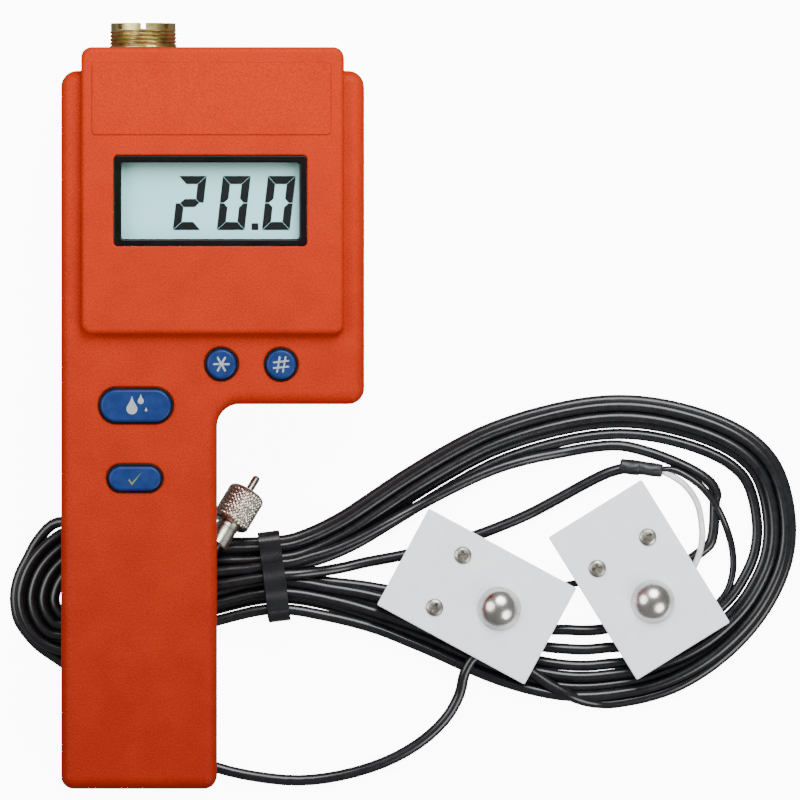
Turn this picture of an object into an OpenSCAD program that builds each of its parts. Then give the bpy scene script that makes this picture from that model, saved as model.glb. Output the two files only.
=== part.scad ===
// Moisture meter with a sensor lead set.
// The meter lies on its flat back: +Y runs from the handle to the socket, +Z is up.

/* [Case] */
// Width across the head
head_w = 85.4; // [80:0.2:95]
// Lower edge of the head
head_y0 = 0.4; // [0:0.1:4]
// Upper edge of the head's wings
head_y1 = 94.4; // [90:0.1:98]
// Width of the handle
handle_w = 43.8; // [42:0.2:48]
// Length of the handle below the origin
handle_len = 108; // [104:1:120]
// Height of the front face above the back
front_z = 38; // [38:0.5:40]
// Height of the joint between the two shells
split_z = 22; // [21.5:0.5:22.5]
// Height of the handle's back above the head's back
handle_back_z = 12; // [11:0.5:12]
// Wall thickness of the shells
wall = 2.4; // [2:0.1:2.6]
// Radius of the head's corners
head_r = 4.5; // [4:0.5:5]
// Radius of the handle's corners
handle_r = 3.5; // [3:0.5:4]
// Radius of the throat between head and handle
throat_r = 6.3; // [5:0.1:7]
// Slope of the long edges of the back
back_edge = 2.5; // [2:0.5:3]

/* [Display block] */
// Width of the raised block
block_w = 74; // [70:1:78]
// Lower edge of the raised block
block_y0 = 20.1; // [19:0.1:21]
// Upper edge of the raised block
block_y1 = 101; // [100:0.5:103]
// Height of the block's face above the back
block_z = 41.5; // [41:0.5:43]
// Radius of the raised block's corners
block_r = 3; // [2:0.5:4]
// Width of the display window
window_w = 54.4; // [50:0.2:56]
// Height of the display window
window_h = 25.6; // [24:0.2:27]
// Middle of the display window along Y
window_y = 57.7; // [56:0.1:60]

/* [Keys] */
// Radius of the round key caps
round_cap_r = 4.2; // [3.8:0.1:4.2]
// Gap between a cap and its seal
cap_gap = 0.35; // [0.3:0.05:0.45]
// Height of the caps above the front face
cap_rise = 1.4; // [1:0.1:2]
// Travel of a key
key_travel = 0.8; // [0.4:0.1:0.8]

/* [Socket] */
// Outer radius of the socket's thread
socket_r = 7.94; // [7.94]
// Radius of the bore in the centre contact
contact_bore_r = 2.0; // [1.98:0.01:2.05]
// Position of the socket along X
socket_x = -19.7; // [-21:0.1:-18]

/* [Lead] */
// Diameter of the cable
cable_d = 3.1; // [2.9:0.1:3.2]
// Outer radius of the plug's coupling ring
ring_r = 5.5; // [5.3:0.1:5.6]
// Length of a contact pad
pad_len = 47.5; // [46:0.5:49]
// Width of a contact pad
pad_w = 31; // [30:0.5:32]
// Thickness of a contact pad
pad_t = 5; // [5:0.5:6]
// Radius of the contact domes
dome_r = 6.35; // [6:0.05:6.5]

/* [Hidden] */
$fn = 48;

eps = 0.01;
half_w = head_w / 2;
handle_x1 = handle_w - half_w;
handle_cx = handle_w / 2 - half_w;
inner_front_z = front_z - wall;
inner_block_z = block_z - 2.6;
window_x = -0.6;
board_z = 27;
board_t = 1.6;
board_top = board_z + board_t;
cap_top = front_z + cap_rise;
screw_at = [[-34, 85], [34, 85], [34, 10], [-34, 10], [handle_cx, -29.5]];
boss_r = 3.6;
screw_r = 1.4;
// Keys: place, half the straight length of the cap, cap radius, radius of its hole
star_at = [2.5, 11.7];
hash_at = [19.3, 11.6];
drop_at = [-21.6, 0];
tick_at = [-21.9, -20.5];
round_key = [0, round_cap_r, round_cap_r + 0.6];
drop_shape = [5.4, 4.6, 5.3];
tick_shape = [3.95, 3.45, 4.25];
keys = [[star_at, round_key], [hash_at, round_key], [drop_at, drop_shape], [tick_at, tick_shape]];
door_x = handle_cx;
door_w = 29;
door_y1 = -34;
rail_gap = 0.4;
battery_z = handle_back_z + 3.6;
battery_y = -86;
// Width and depth of the notches in the socket's rim
rim_notch = [1.5, 1.7];
// the rim of the socket stands as far above the origin as the handle ends below it
socket_y1 = handle_len;
// The strap: middle, turn about Z, width
strap_at = [17, -48, 0];
strap_turn = 7;
strap_w = 6.2;
// The two pads: middle, turn about Z; pad_z is their underside
pad_z = 6.5;
left_pad_at = [74.5, -54];
left_pad_turn = -28.4;
right_pad_at = [120.5, -49.3];
right_pad_turn = -58.2;
dome_u = 7.2;
screw_u = -9;
screw_v = 8.4;
// The plug: middle of the coupling ring, its turn about Z and its tilt
plug_at = [7.06, -29, 6.8];
plug_turn = 59;
plug_tilt = 14;
plug_dir = [cos(plug_turn) * cos(plug_tilt), sin(plug_turn) * cos(plug_tilt), -sin(plug_tilt)];

// The coil's outer edge, on the middle of the outermost turn, with the width of the winding
coil_left = [[17, -38.4, 8.2], [3, -38.6, 9.2], [-6, -35.6, 14], [-18, -30, 21], [-32, -30.5, 17],
    [-44, -35, 13], [-52.5, -43, 11.5], [-56.2, -53, 11.4], [-54.6, -62, 11.4], [-48.5, -68.8, 11.4],
    [-38, -70.8, 11.4], [-22, -67.5, 11.4], [-4, -63.3, 10.2], [6, -60.6, 8.6], [17, -58.6, 8.2]];
coil_right = [[17, -58.6, 8.2], [30, -60.2, 10.2], [46, -65.5, 14], [62, -72.5, 17.5], [80, -80.3, 19.5],
    [98, -84.6, 20.5], [114, -84.2, 20.5], [130, -80.2, 19], [144, -71.5, 15.5], [155, -59.8, 13.2],
    [162, -46, 12.8], [163.5, -32, 12.8], [159.5, -17, 12.8], [149.5, -7.2, 12.6], [133, -0.8, 12.4],
    [115, 1.6, 12], [96, -0.9, 11.6], [75, -7.8, 11.4], [53.5, -20, 10.6], [37, -31, 9.4],
    [25, -36.8, 8.4], [17, -38.4, 8.2]];
coil_low = cable_d;
coil_high = 5.8;

// Cable from the plug, over the winding, to the outside of its left end
start_route = [[-1.8, -43.7, 10], [-5, -47, 9.6], [-10, -49, 8.2], [-16, -48.5, 6.4], [-22, -45.5, 5.2],
    [-28, -41, 4.75], [-34, -36.5, 4.75], [-40, -33.1, 5.4], [-45.5, -33.6, 3.4], [-50, -38.4, 1.6]];
// The stray turn: from the winding's left end, past the handle, back over its lower run
loop_route = [[-50, -67.6, 1.6], [-44, -71.9, 1.6], [-36, -77.5, 1.6], [-28, -84.5, 1.6],
    [-19, -92, 1.6], [-9, -98.4, 1.6], [1, -102.6, 1.6], [12, -105.1, 1.6], [24, -106.2, 1.6],
    [36, -104.8, 1.6], [48, -101.2, 1.6], [58, -95.8, 1.6], [65.5, -89, 1.6], [69.6, -82, 2.2],
    [71.2, -75.5, 4.3], [74.6, -70.8, 4.75], [81, -70.4, 4.75], [88, -74.2, 4.75], [95, -78.9, 4.75],
    [100.5, -81.9, 4.3], [105, -83.6, 2.8], [109.5, -84.3, 1.6]];
// Sensor end of the cable, from the strap to the splice
end_route = [[17, -48.1, 7.7], [20.5, -47.8, 7.5], [24, -47.6, 6.9], [28, -47.2, 5.6], [32, -46.7, 3.8],
    [37, -45.8, 2.2], [43, -44.4, 1.6], [50, -43.1, 1.6], [57, -41.7, 1.6], [64, -39.9, 1.6],
    [72, -37.6, 1.6], [80, -34.7, 1.6], [89, -30.9, 1.6], [97, -26.7, 1.6], [105, -22.3, 1.8],
    [112, -18.9, 2], [118, -17.4, 2.2]];
black_route = [[130.2, -18.2, 2.9], [134.5, -20.2, 3.6], [138.6, -23.4, 4.2], [142.4, -28.4, 3.9],
    [145.2, -34.4, 1.8], [147, -41, 1.1], [147, -47.8, 1.1], [144.6, -54, 1.1], [139, -58.6, 1.1],
    [132, -59.2, 1.8], [125.5, -56.6, 3.9], [119.5, -53.4, 4], [112.5, -51, 2.2], [104, -50.2, 1.1],
    [96.5, -52, 1.1], [91, -55.4, 2.8], [87.6, -57.8, 5.4], [84.8, -58.4, 7.6]];
white_route = [[130, -20, 2.8], [133.8, -22.8, 2.6], [136.9, -27.4, 1.6], [138.2, -33, 1.4],
    [138.3, -38.5, 3.2], [137, -43.5, 4.1], [134.6, -48, 4.1], [131.6, -51.8, 4.9], [128.3, -54.4, 7.6]];

// ---- shared shapes ----

// Rectangle with rounded corners, from its low and high corners
module rounded(x0, y0, x1, y1, r) {
    translate([x0 + r, y0]) square([x1 - x0 - 2 * r, y1 - y0]);
    translate([x0, y0 + r]) square([x1 - x0, y1 - y0 - 2 * r]);
    for (x = [x0 + r, x1 - r], y = [y0 + r, y1 - r]) translate([x, y]) circle(r);
}

// Straight slot shape along X: half its straight length and its end radius
module stadium(half, r) {
    if (half > 0) {
        translate([-half, -r]) square([2 * half, 2 * r]);
        for (x = [-half, half]) translate([x, 0]) circle(r);
    } else circle(r);
}

// L-shaped outline of the case, drawn in from its edge by inset
module case_plan(inset) {
    rounded(-half_w + inset, head_y0 + inset, half_w - inset, head_y1 - inset, head_r - inset / 2);
    rounded(-half_w + inset, -handle_len + inset, handle_x1 - inset, head_y1 / 2, handle_r - inset / 2);
}

// Slab whose top edge slopes in by edge over its last edge millimetres
module eased_slab(x0, y0, x1, y1, r, z0, z1, edge) {
    hull() {
        translate([0, 0, z0]) linear_extrude(z1 - edge - z0) rounded(x0, y0, x1, y1, r, $fn = 32);
        translate([0, 0, z0]) linear_extrude(z1 - z0)
            rounded(x0 + edge, y0 + edge, x1 - edge, y1 - edge, r, $fn = 32);
    }
}

// The same slope on the underside, on the two long sides only
module eased_back(x0, y0, x1, y1, r, z0, z1, edge) {
    hull() {
        translate([0, 0, z0 + edge]) linear_extrude(z1 - z0 - edge) rounded(x0, y0, x1, y1, r, $fn = 32);
        translate([0, 0, z0]) linear_extrude(z1 - z0) rounded(x0 + edge, y0, x1 - edge, y1, r, $fn = 32);
    }
}

// Round throat between the head and the handle, from z0 to z1
module throat(z0, z1) {
    translate([handle_x1 - 1, head_y0 - throat_r, z0]) linear_extrude(z1 - z0) difference() {
        square([throat_r + 1, throat_r + 1]);
        translate([throat_r + 1, 0]) circle(throat_r);
    }
}

module at_screws() {
    for (p = screw_at) translate([p.x, p.y, 0]) children();
}

// Tube of radius r swept along points; each ring stands square to the route
function unit(v) = v / norm(v);
function along(p, i) = unit(p[min(i + 1, len(p) - 1)] - p[max(i - 1, 0)]);
function side_of(t) = unit(cross(t, abs(t.z) > 0.95 ? [1, 0, 0] : [0, 0, 1]));
module swept(p, r, sides = 8) {
    n = len(p);
    rings = [for (i = [0:n - 1]) let (t = along(p, i), u = side_of(t), v = cross(u, t))
        for (k = [0:sides - 1]) p[i] + r * (cos(360 * k / sides) * u + sin(360 * k / sides) * v)];
    walls = [for (i = [0:n - 2], k = [0:sides - 1]) let (m = (k + 1) % sides)
        [i * sides + k, (i + 1) * sides + k, (i + 1) * sides + m, i * sides + m]];
    polyhedron(rings, concat([[for (k = [0:sides - 1]) k]],
        [for (w = walls) w], [[for (k = [sides - 1:-1:0]) (n - 1) * sides + k]]));
}

// ---- case ----
module front_shell() {
    color("#d8491c") difference() {
        union() {
            eased_slab(-half_w, head_y0, half_w, head_y1, head_r, split_z, front_z, 3);
            eased_slab(-half_w, -handle_len, handle_x1, head_y1 / 2, handle_r, split_z, front_z, 3);
            eased_slab(-block_w / 2, block_y0, block_w / 2, block_y1, block_r, split_z, block_z, 1.6);
            throat(split_z, front_z - 3);
        }
        difference() {
            union() {
                translate([0, 0, split_z - 1]) linear_extrude(inner_front_z - split_z + 1)
                    case_plan(wall + 0.8);
                translate([0, 0, split_z - 1]) linear_extrude(inner_block_z - split_z + 1)
                    rounded(-block_w / 2 + wall, block_y0 + wall, block_w / 2 - wall, block_y1 - wall, 2);
            }
            at_screws() translate([0, 0, board_top + 0.2]) cylinder(r = boss_r - 0.4, h = 20);
        }
        at_screws() translate([0, 0, split_z - 1]) cylinder(r = screw_r, h = 12);
        translate([window_x - window_w / 2, window_y - window_h / 2, inner_block_z - 1])
            cube([window_w, window_h, 5]);
        for (k = keys) translate([k[0].x, k[0].y, inner_front_z - 1]) linear_extrude(5)
            stadium(k[1][0], k[1][2]);
        translate([socket_x, block_y1 - wall - 1, split_z]) rotate([-90, 0, 0])
            cylinder(r = socket_r + 0.05, h = 10);
    }
}

module rear_shell() {
    color("#c63e10") difference() {
        union() {
            eased_back(-half_w, head_y0, half_w, head_y1, head_r, 0, split_z, back_edge);
            eased_back(-half_w, -handle_len, handle_x1, head_y1 / 2, handle_r,
                handle_back_z, split_z, back_edge);
            throat(handle_back_z + back_edge, split_z);
            translate([0, 0, 4]) linear_extrude(split_z - 4)
                rounded(-block_w / 2, head_y1 - 8, block_w / 2, block_y1, block_r);
        }
        difference() {
            union() {
                translate([0, 0, wall]) linear_extrude(split_z) intersection() {
                    case_plan(wall + 0.8);
                    translate([-half_w, head_y0 + wall + 1]) square([head_w, 200]);
                }
                translate([0, 0, handle_back_z + wall]) linear_extrude(split_z) case_plan(wall + 0.8);
                translate([-block_w / 2 + wall, block_y0, 6.4])
                    cube([block_w - 2 * wall, block_y1 - wall - block_y0, split_z]);
            }
            for (p = screw_at) let (z0 = p.y < 0 ? handle_back_z : 1)
                translate([p.x, p.y, z0]) cylinder(r = boss_r, h = split_z - 0.1 - z0);
            for (s = [-1, 1]) translate([door_x + s * (door_w / 2 + 2.2) - 2, -handle_len, handle_back_z])
                cube([4, handle_len + door_y1 + 3, 3.3]);
        }
        for (p = screw_at) translate([p.x, p.y, 0]) {
            translate([0, 0, -1]) cylinder(r = screw_r + 0.2, h = split_z + 2);
            translate([0, 0, -1]) cylinder(r = 2.8, h = 1 + (p.y < 0 ? handle_back_z + 3 : 12));
        }
        translate([door_x - door_w / 2 - rail_gap, -handle_len - 1, handle_back_z - 1])
            cube([door_w + 2 * rail_gap, handle_len + 1 + door_y1 + rail_gap, 4.4]);
        translate([door_x - door_w / 2 - 1.2 - rail_gap, -handle_len - 1, handle_back_z + 1.4])
            cube([door_w + 2.4 + 2 * rail_gap, handle_len + 1 + door_y1 + rail_gap, 2.0]);
        translate([socket_x, block_y1 - wall - 1, split_z]) rotate([-90, 0, 0])
            cylinder(r = socket_r + 0.05, h = 10);
    }
}

// Five self-tapping screws, heads towards the back
module case_screws() {
    color("silver") for (p = screw_at) translate([p.x, p.y, p.y < 0 ? handle_back_z + 3.05 : 12.05 - 1]) {
        difference() {
            cylinder(r = 2.6, h = 1.8);
            for (a = [0, 90]) rotate([0, 0, a]) translate([-1.6, -0.3, -1]) cube([3.2, 0.6, 1.8]);
        }
        cylinder(r = screw_r, h = p.y < 0 ? 15 : 19);
    }
}

module battery_door() {
    len = handle_len + door_y1;
    color("#c63e10") difference() {
        union() {
            translate([door_x - door_w / 2, -handle_len, handle_back_z]) cube([door_w, len, 2.6]);
            translate([door_x - door_w / 2 - 1.2, -handle_len, handle_back_z + 1.8])
                cube([door_w + 2.4, len, 1.2]);
        }
        for (i = [0:4]) translate([door_x - 8, -99 + 3 * i, handle_back_z - 1]) cube([16, 1.4, 1.6]);
    }
}

// ---- display ----
module lcd_bezel() {
    color("#0c0c0e") translate([window_x, window_y, block_z - 2.2]) linear_extrude(1.8) difference() {
        square([window_w - 0.1, window_h - 0.1], center = true);
        rounded(-25.1, -10.8, 25.1, 10.8, 0.8);
    }
}

module lcd_lens() {
    color("white", 0.3) translate([window_x, window_y, block_z - 3.25])
        linear_extrude(1) square([window_w - 0.2, window_h - 0.2], center = true);
}

module lcd_panel() {
    color("#c3d6cf") translate([window_x - 30, window_y - 15.5, board_top + 6]) cube([60, 31, 2.6]);
}

module lcd_strips() {
    color("#3a3a3e") for (s = [-1, 1])
        translate([window_x - 28, window_y + s * 13.4 - 1.3, board_top]) cube([56, 2.6, 6]);
}

// ---- electronics ----
module circuit_board() {
    color("#1d6b3a") difference() {
        translate([0, 0, board_z]) linear_extrude(board_t) {
            translate([-38, 6]) square([76, 83]);
            translate([-38, -25]) square([35, 32]);
        }
        at_screws() translate([-boss_r - 0.6, -boss_r - 0.6, board_z - 1])
            cube([2 * boss_r + 1.2, 2 * boss_r + 1.2, 4]);
    }
}

module board_parts() {
    color("#1a1a1c") {
        translate([-12, 30, board_z - 3]) cube([18, 18, 3]);
        translate([14, 34, board_z - 2]) cube([10, 6, 2]);
        translate([20, 60, board_z - 8]) cylinder(r = 3.2, h = 8);
        translate([-8, 66, board_z - 5]) cylinder(r = 4, h = 5);
        for (i = [0:5]) translate([-30 + 5 * i, 20, board_z - 1]) cube([3, 1.6, 1]);
    }
}

module key_switches() {
    color("#2b2b2e") for (k = keys) translate([k[0].x, k[0].y, board_top]) {
        translate([-3, -3, 0]) cube([6, 6, 1.6]);
        cylinder(r = 1.7, h = 1.9);
    }
}

module key_seals() {
    color("#101012") for (k = keys) translate([k[0].x, k[0].y, inner_front_z]) linear_extrude(1.9)
        difference() {
            stadium(k[1][0], k[1][2]);
            stadium(k[1][0], k[1][1] + cap_gap);
        }
}

// A key: cap, retaining flange and the stem that presses its switch
module key_cap(at, shape) {
    color("#1f4f96") translate([at.x, at.y, 0]) {
        translate([0, 0, 32]) linear_extrude(cap_top - 32 - 0.5) stadium(shape[0], shape[1]);
        translate([0, 0, cap_top - 0.5 - eps]) linear_extrude(0.5 + eps) stadium(shape[0], shape[1] - 0.5);
        translate([0, 0, 33.8]) linear_extrude(1.3) stadium(shape[0], shape[2] + 0.8);
        translate([0, 0, 31.4]) cylinder(r = 1.8, h = 1);
    }
}
module drop_key() { key_cap(drop_at, drop_shape); }
module tick_key() { key_cap(tick_at, tick_shape); }
module star_key() { key_cap(star_at, round_key); }
module hash_key() { key_cap(hash_at, round_key); }

// ---- socket ----
module along_socket(y) {
    translate([socket_x, y, split_z]) rotate([-90, 0, 0]) children();
}

module socket_body() {
    color("#b08a4a") difference() {
        union() {
            along_socket(90) cylinder(r = socket_r - 0.4, h = socket_y1 - 90);
            along_socket(block_y1 + 0.1) cylinder(r = socket_r, h = socket_y1 - block_y1 - 0.1);
            along_socket(block_y1 - wall - 2.2) translate([-9.5, -9.5, 0]) cube([19, 19, 2.2]);
        }
        along_socket(89) cylinder(r = 6.2, h = 30);
        along_socket(socket_y1 - rim_notch[1]) for (a = [0:45:135]) rotate([0, 0, a])
            translate([-10, -rim_notch[0] / 2, 0]) cube([20, rim_notch[0], 3]);
    }
}

module socket_insulator() {
    color("#e9e4d6") difference() {
        along_socket(90) cylinder(r = 6.2, h = 12);
        along_socket(89) cylinder(r = 2.9, h = 20);
    }
}

module socket_contact() {
    color("#c9a24c") difference() {
        along_socket(86) cylinder(r = 2.9, h = 19);
        along_socket(96) cylinder(r = contact_bore_r, h = 20);
    }
}

module socket_wire() {
    color("#cc2222") swept([[socket_x, 86, split_z], [socket_x, 83, split_z], [-20.5, 79, 23],
        [-22, 76, 25], [-23, 74, board_z]], 0.8);
}

// ---- battery ----
module battery() {
    color("#30343c") {
        translate([handle_cx - 13.1, battery_y, battery_z]) cube([26.2, 46, 17.2]);
        for (s = [-1, 1]) translate([handle_cx + 6.35 * s, battery_y + 46, battery_z + 8.6])
            rotate([-90, 0, 0]) cylinder(r = 3.2, h = 2.5);
    }
}

module battery_snap() {
    color("#151517") difference() {
        translate([handle_cx - 12.5, battery_y + 46, battery_z + 3]) cube([25, 4, 11]);
        for (s = [-1, 1]) translate([handle_cx + 6.35 * s, battery_y + 45, battery_z + 8.6])
            rotate([-90, 0, 0]) cylinder(r = 3.2, h = 3.5);
    }
}

module battery_wires() {
    color("#aa2020") for (s = [-1, 1])
        swept([[handle_cx + 9 * s, battery_y + 50, 24], [handle_cx + 9 * s, battery_y + 53, 24.2],
            [handle_cx + 9 * s, -30, 25], [handle_cx + 9 * s, -26.5, 26],
            [handle_cx + 9 * s, -23, board_z]], 0.7);
}

// ---- plug ----
module along_plug(d) {
    translate(plug_at) rotate([0, 0, plug_turn]) rotate([0, 90 + plug_tilt, 0])
        translate([0, 0, d]) children();
}

module plug_body() {
    color("#bdb8ad") difference() {
        union() {
            along_plug(-12.6) cylinder(r = 3.1, h = 15.6);
            along_plug(-3.4) cylinder(r = 4.6, h = 1.2);
        }
        along_plug(-13) cylinder(r = cable_d / 2, h = 6);
        along_plug(-1) cylinder(r = 2.4, h = 6);
    }
}

// Coupling ring, free to turn on the plug's body
module plug_ring() {
    color("#c8c2b6") difference() {
        along_plug(-5.4) cylinder(r = ring_r, h = 10.8);
        along_plug(-6) cylinder(r = 3.4, h = 8);
        along_plug(-3.9) cylinder(r = ring_r - 0.6, h = 12);
    }
}

module plug_insulator() {
    color("#efe9da") difference() {
        along_plug(-1) cylinder(r = 2.4, h = 4.4);
        along_plug(-2) cylinder(r = 1.1, h = 9);
    }
}

module plug_pin() {
    color("#d8d3c6") {
        along_plug(-1) cylinder(r = 1.1, h = 10.9);
        along_plug(9.9) cylinder(r1 = 1.1, r2 = 0.6, h = 0.8);
    }
}

// ---- cable ----
module lead_start() {
    color("#141416")
        swept(concat([plug_at - 7.2 * plug_dir, plug_at - 9.6 * plug_dir], start_route), cable_d / 2);
}

module lead_loop() {
    color("#141416") swept(loop_route, cable_d / 2);
}

module lead_end() {
    color("#141416") swept(end_route, cable_d / 2);
}

// Smooth curve through stations, as rows of x, y and width
function between(a, b, c, d, t) = 0.5 * (2 * b + t * (c - a) + t * t * (2 * a - 5 * b + 4 * c - d)
    + t * t * t * (3 * b - a - 3 * c + d));
function smooth(p, steps) = let (n = len(p)) concat([for (i = [0:n - 2], s = [0:steps - 1])
    between(p[max(i - 1, 0)], p[i], p[i + 1], p[min(i + 2, n - 1)], s / steps)], [p[n - 1]]);
function inward(p, i) = let (t = along(p, i), f = unit([t.x, t.y])) [-f.y, f.x];

// Outer edge of the winding along stations, and its inner edge
function outer_edge(p) = [for (i = [0:len(p) - 1]) [p[i].x, p[i].y] - cable_d / 2 * inward(p, i)];
function but_last(p) = [for (i = [0:len(p) - 2]) p[i]];
function inner_edge(p) = [for (i = [0:len(p) - 1])
    [p[i].x, p[i].y] + (p[i].z + cable_d / 2) * inward(p, i)];

module lead_coil() {
    left = smooth(coil_left, 3);
    right = smooth(coil_right, 3);
    color("#161618") difference() {
        linear_extrude(coil_high) difference() {
            polygon(concat(but_last(outer_edge(left)), but_last(outer_edge(right))));
            polygon(inner_edge(left));
            polygon(inner_edge(right));
        }
        translate([-36, -56, coil_low]) cube([32, 30, 10]);
    }
}

// Strap round the winding's narrow middle
module cable_strap() {
    color("#1b1c1e") translate(strap_at) rotate([0, 0, strap_turn]) rotate([0, 90, 0])
        translate([0, 0, -strap_w / 2]) linear_extrude(strap_w) difference() {
            rounded(-10.2, -12.5, 0, 12.5, 3);
            rounded(-9.4, -11.7, -0.8, 11.7, 2.4);
        }
}

module splice_sleeve() {
    color("#0e0e10") {
        translate([118, -17.4, 2.25]) rotate([0, 0, -6]) rotate([0, 90, 0]) cylinder(r = 2.2, h = 5.2);
        translate([123.1, -17.9, 2.4]) rotate([0, 0, -8]) rotate([0, 90, 0]) cylinder(r = 2.0, h = 7);
    }
}

module wire_black() {
    color("#121214") swept(black_route, 1.0);
}

module wire_white() {
    color("#e6e6e6") swept(white_route, 0.9);
}

// ---- contact pads ----
module on_left_pad() {
    translate([left_pad_at.x, left_pad_at.y, pad_z]) rotate([0, 0, left_pad_turn]) children();
}
module on_right_pad() {
    translate([right_pad_at.x, right_pad_at.y, pad_z]) rotate([0, 0, right_pad_turn]) children();
}
module on_pads() {
    on_left_pad() children();
    on_right_pad() children();
}

module pad() {
    color("#f2f5f8") difference() {
        linear_extrude(pad_t) rounded(-pad_len / 2, -pad_w / 2, pad_len / 2, pad_w / 2, 0.8);
        translate([-13, -12, -1]) cube([27, 24, 3.4]);
        translate([dome_u, 0, 0]) cylinder(r = 2, h = 10);
        for (s = [-1, 1]) translate([screw_u, s * screw_v, 0]) cylinder(r = 1.25, h = 10);
    }
}
module left_pad() { on_left_pad() pad(); }
module right_pad() { on_right_pad() pad(); }

module contact_domes() {
    color("#c9c7c2") on_pads() translate([dome_u, 0, 0]) {
        translate([0, 0, pad_t]) rotate_extrude() intersection() {
            translate([0, -1.6]) circle(dome_r);
            square([10, 10]);
        }
        translate([0, 0, 0.2]) cylinder(r = 2, h = pad_t - 0.2 + eps);
    }
}

module dome_nuts() {
    color("#bfbcb4") on_pads() translate([dome_u, 0, 0.1]) difference() {
        cylinder(r = 3.6, h = 1.2, $fn = 6);
        cylinder(r = 2, h = 5, center = true);
    }
}

module pad_screws() {
    color("#b9b4aa") on_pads() for (s = [-1, 1]) translate([screw_u, s * screw_v, 0]) {
        difference() {
            translate([0, 0, pad_t]) cylinder(r = 2.45, h = 0.8);
            for (a = [0, 90]) rotate([0, 0, a]) translate([-1.5, -0.3, pad_t + 0.3]) cube([3, 0.6, 1]);
        }
        translate([0, 0, 0.4]) cylinder(r = 1.25, h = pad_t - 0.4 + eps);
    }
}

// Three-armed plate under each pad, held by the two screws and the dome's nut
module terminal_plates() {
    color("#b9933e") on_pads() translate([0, 0, 1.3]) linear_extrude(1.1) difference() {
        union() {
            translate([screw_u - 3, -screw_v - 3]) square([6, 2 * screw_v + 6]);
            translate([screw_u, -3.5]) square([dome_u - screw_u, 7]);
            translate([dome_u, 0]) circle(4.4);
        }
        translate([dome_u, 0]) circle(2);
        for (s = [-1, 1]) translate([screw_u, s * screw_v]) circle(1.25);
    }
}

front_shell();
rear_shell();
case_screws();
battery_door();
lcd_bezel();
lcd_lens();
lcd_panel();
lcd_strips();
circuit_board();
board_parts();
key_switches();
key_seals();
drop_key();
tick_key();
star_key();
hash_key();
socket_body();
socket_insulator();
socket_contact();
socket_wire();
battery();
battery_snap();
battery_wires();
plug_body();
plug_ring();
plug_insulator();
plug_pin();
lead_start();
lead_coil();
lead_loop();
lead_end();
cable_strap();
splice_sleeve();
wire_black();
wire_white();
left_pad();
right_pad();
contact_domes();
dome_nuts();
pad_screws();
terminal_plates();
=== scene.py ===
"""Moisture meter with its coiled sensor lead, laid on a pale floor and seen from above.

Laid out as an add-on and run as a script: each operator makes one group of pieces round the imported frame.
Outlines, profiles and routes are drawn in millimetres, and the helpers make metres of them.
"""
import math

import bpy
from mathutils import Matrix, Vector


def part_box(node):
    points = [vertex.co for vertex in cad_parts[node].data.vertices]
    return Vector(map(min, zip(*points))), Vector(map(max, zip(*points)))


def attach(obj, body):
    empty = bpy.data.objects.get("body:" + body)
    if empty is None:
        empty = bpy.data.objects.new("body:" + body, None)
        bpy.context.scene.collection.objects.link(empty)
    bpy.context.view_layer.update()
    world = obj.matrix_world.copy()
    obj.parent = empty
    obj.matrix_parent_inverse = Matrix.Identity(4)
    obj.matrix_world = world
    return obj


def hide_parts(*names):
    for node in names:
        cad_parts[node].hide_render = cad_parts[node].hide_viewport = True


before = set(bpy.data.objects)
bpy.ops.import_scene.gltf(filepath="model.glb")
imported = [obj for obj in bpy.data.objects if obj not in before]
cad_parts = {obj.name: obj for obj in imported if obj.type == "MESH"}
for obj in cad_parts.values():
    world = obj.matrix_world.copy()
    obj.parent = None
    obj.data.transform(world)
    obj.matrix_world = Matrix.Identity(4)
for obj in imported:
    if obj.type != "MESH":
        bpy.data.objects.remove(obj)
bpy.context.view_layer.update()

bl_info = {
    "name": "Moisture meter",
    "version": (1, 0, 0),
    "blender": (4, 5, 0),
    "location": "View3D > Sidebar > Meter",
    "description": "Builds the looks of a moisture meter and its sensor lead round a packed frame",
    "category": "Object",
}

MM = 0.001
CABLE_R_MM = 1.55


def box_of(node):
    """Lowest and highest corner of a CAD node, as vectors."""
    low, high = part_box(node)
    return Vector(low), Vector(high)


# ---------------------------------------------------------------- settings

class MeterCaseSettings(bpy.types.PropertyGroup):
    """Edges and colours of the moulded case"""
    edge: bpy.props.FloatProperty(
        name="Edge radius", description="Rounding of the front edge of the case",
        default=3.4 * MM, unit="LENGTH", subtype="DISTANCE")
    block_edge: bpy.props.FloatProperty(
        name="Block edge", description="Rounding of the raised display block",
        default=1.5 * MM, unit="LENGTH", subtype="DISTANCE")
    orange: bpy.props.StringProperty(
        name="Orange", description="Colour of the head, as sRGB hex", default="B22A02")
    # Deep orange is painted shade: it darkens the case towards the end of the handle, where the light falls
    # off.
    shaded_handle_orange: bpy.props.StringProperty(
        name="Deep orange", description="Colour towards the end of the handle, as sRGB hex",
        default="8C1A02")
    blue: bpy.props.StringProperty(
        name="Key blue", description="Colour of the keys, as sRGB hex", default="062860")


class MeterLeadSettings(bpy.types.PropertyGroup):
    """Sizes and colours of the sensor lead"""
    diameter: bpy.props.FloatProperty(
        name="Cable diameter", description="Outer diameter of the cable",
        default=2 * CABLE_R_MM * MM, unit="LENGTH", subtype="DISTANCE")
    black: bpy.props.StringProperty(
        name="Jacket", description="Colour of the cable's jacket, as sRGB hex", default="0D0D10")
    pad_white: bpy.props.StringProperty(
        name="Pad white", description="Colour of the contact pads, as sRGB hex", default="F1F4F9")


def case_settings():
    return bpy.context.scene.meter_case


def lead_settings():
    return bpy.context.scene.meter_lead


# ---------------------------------------------------------------- modelling helpers

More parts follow.
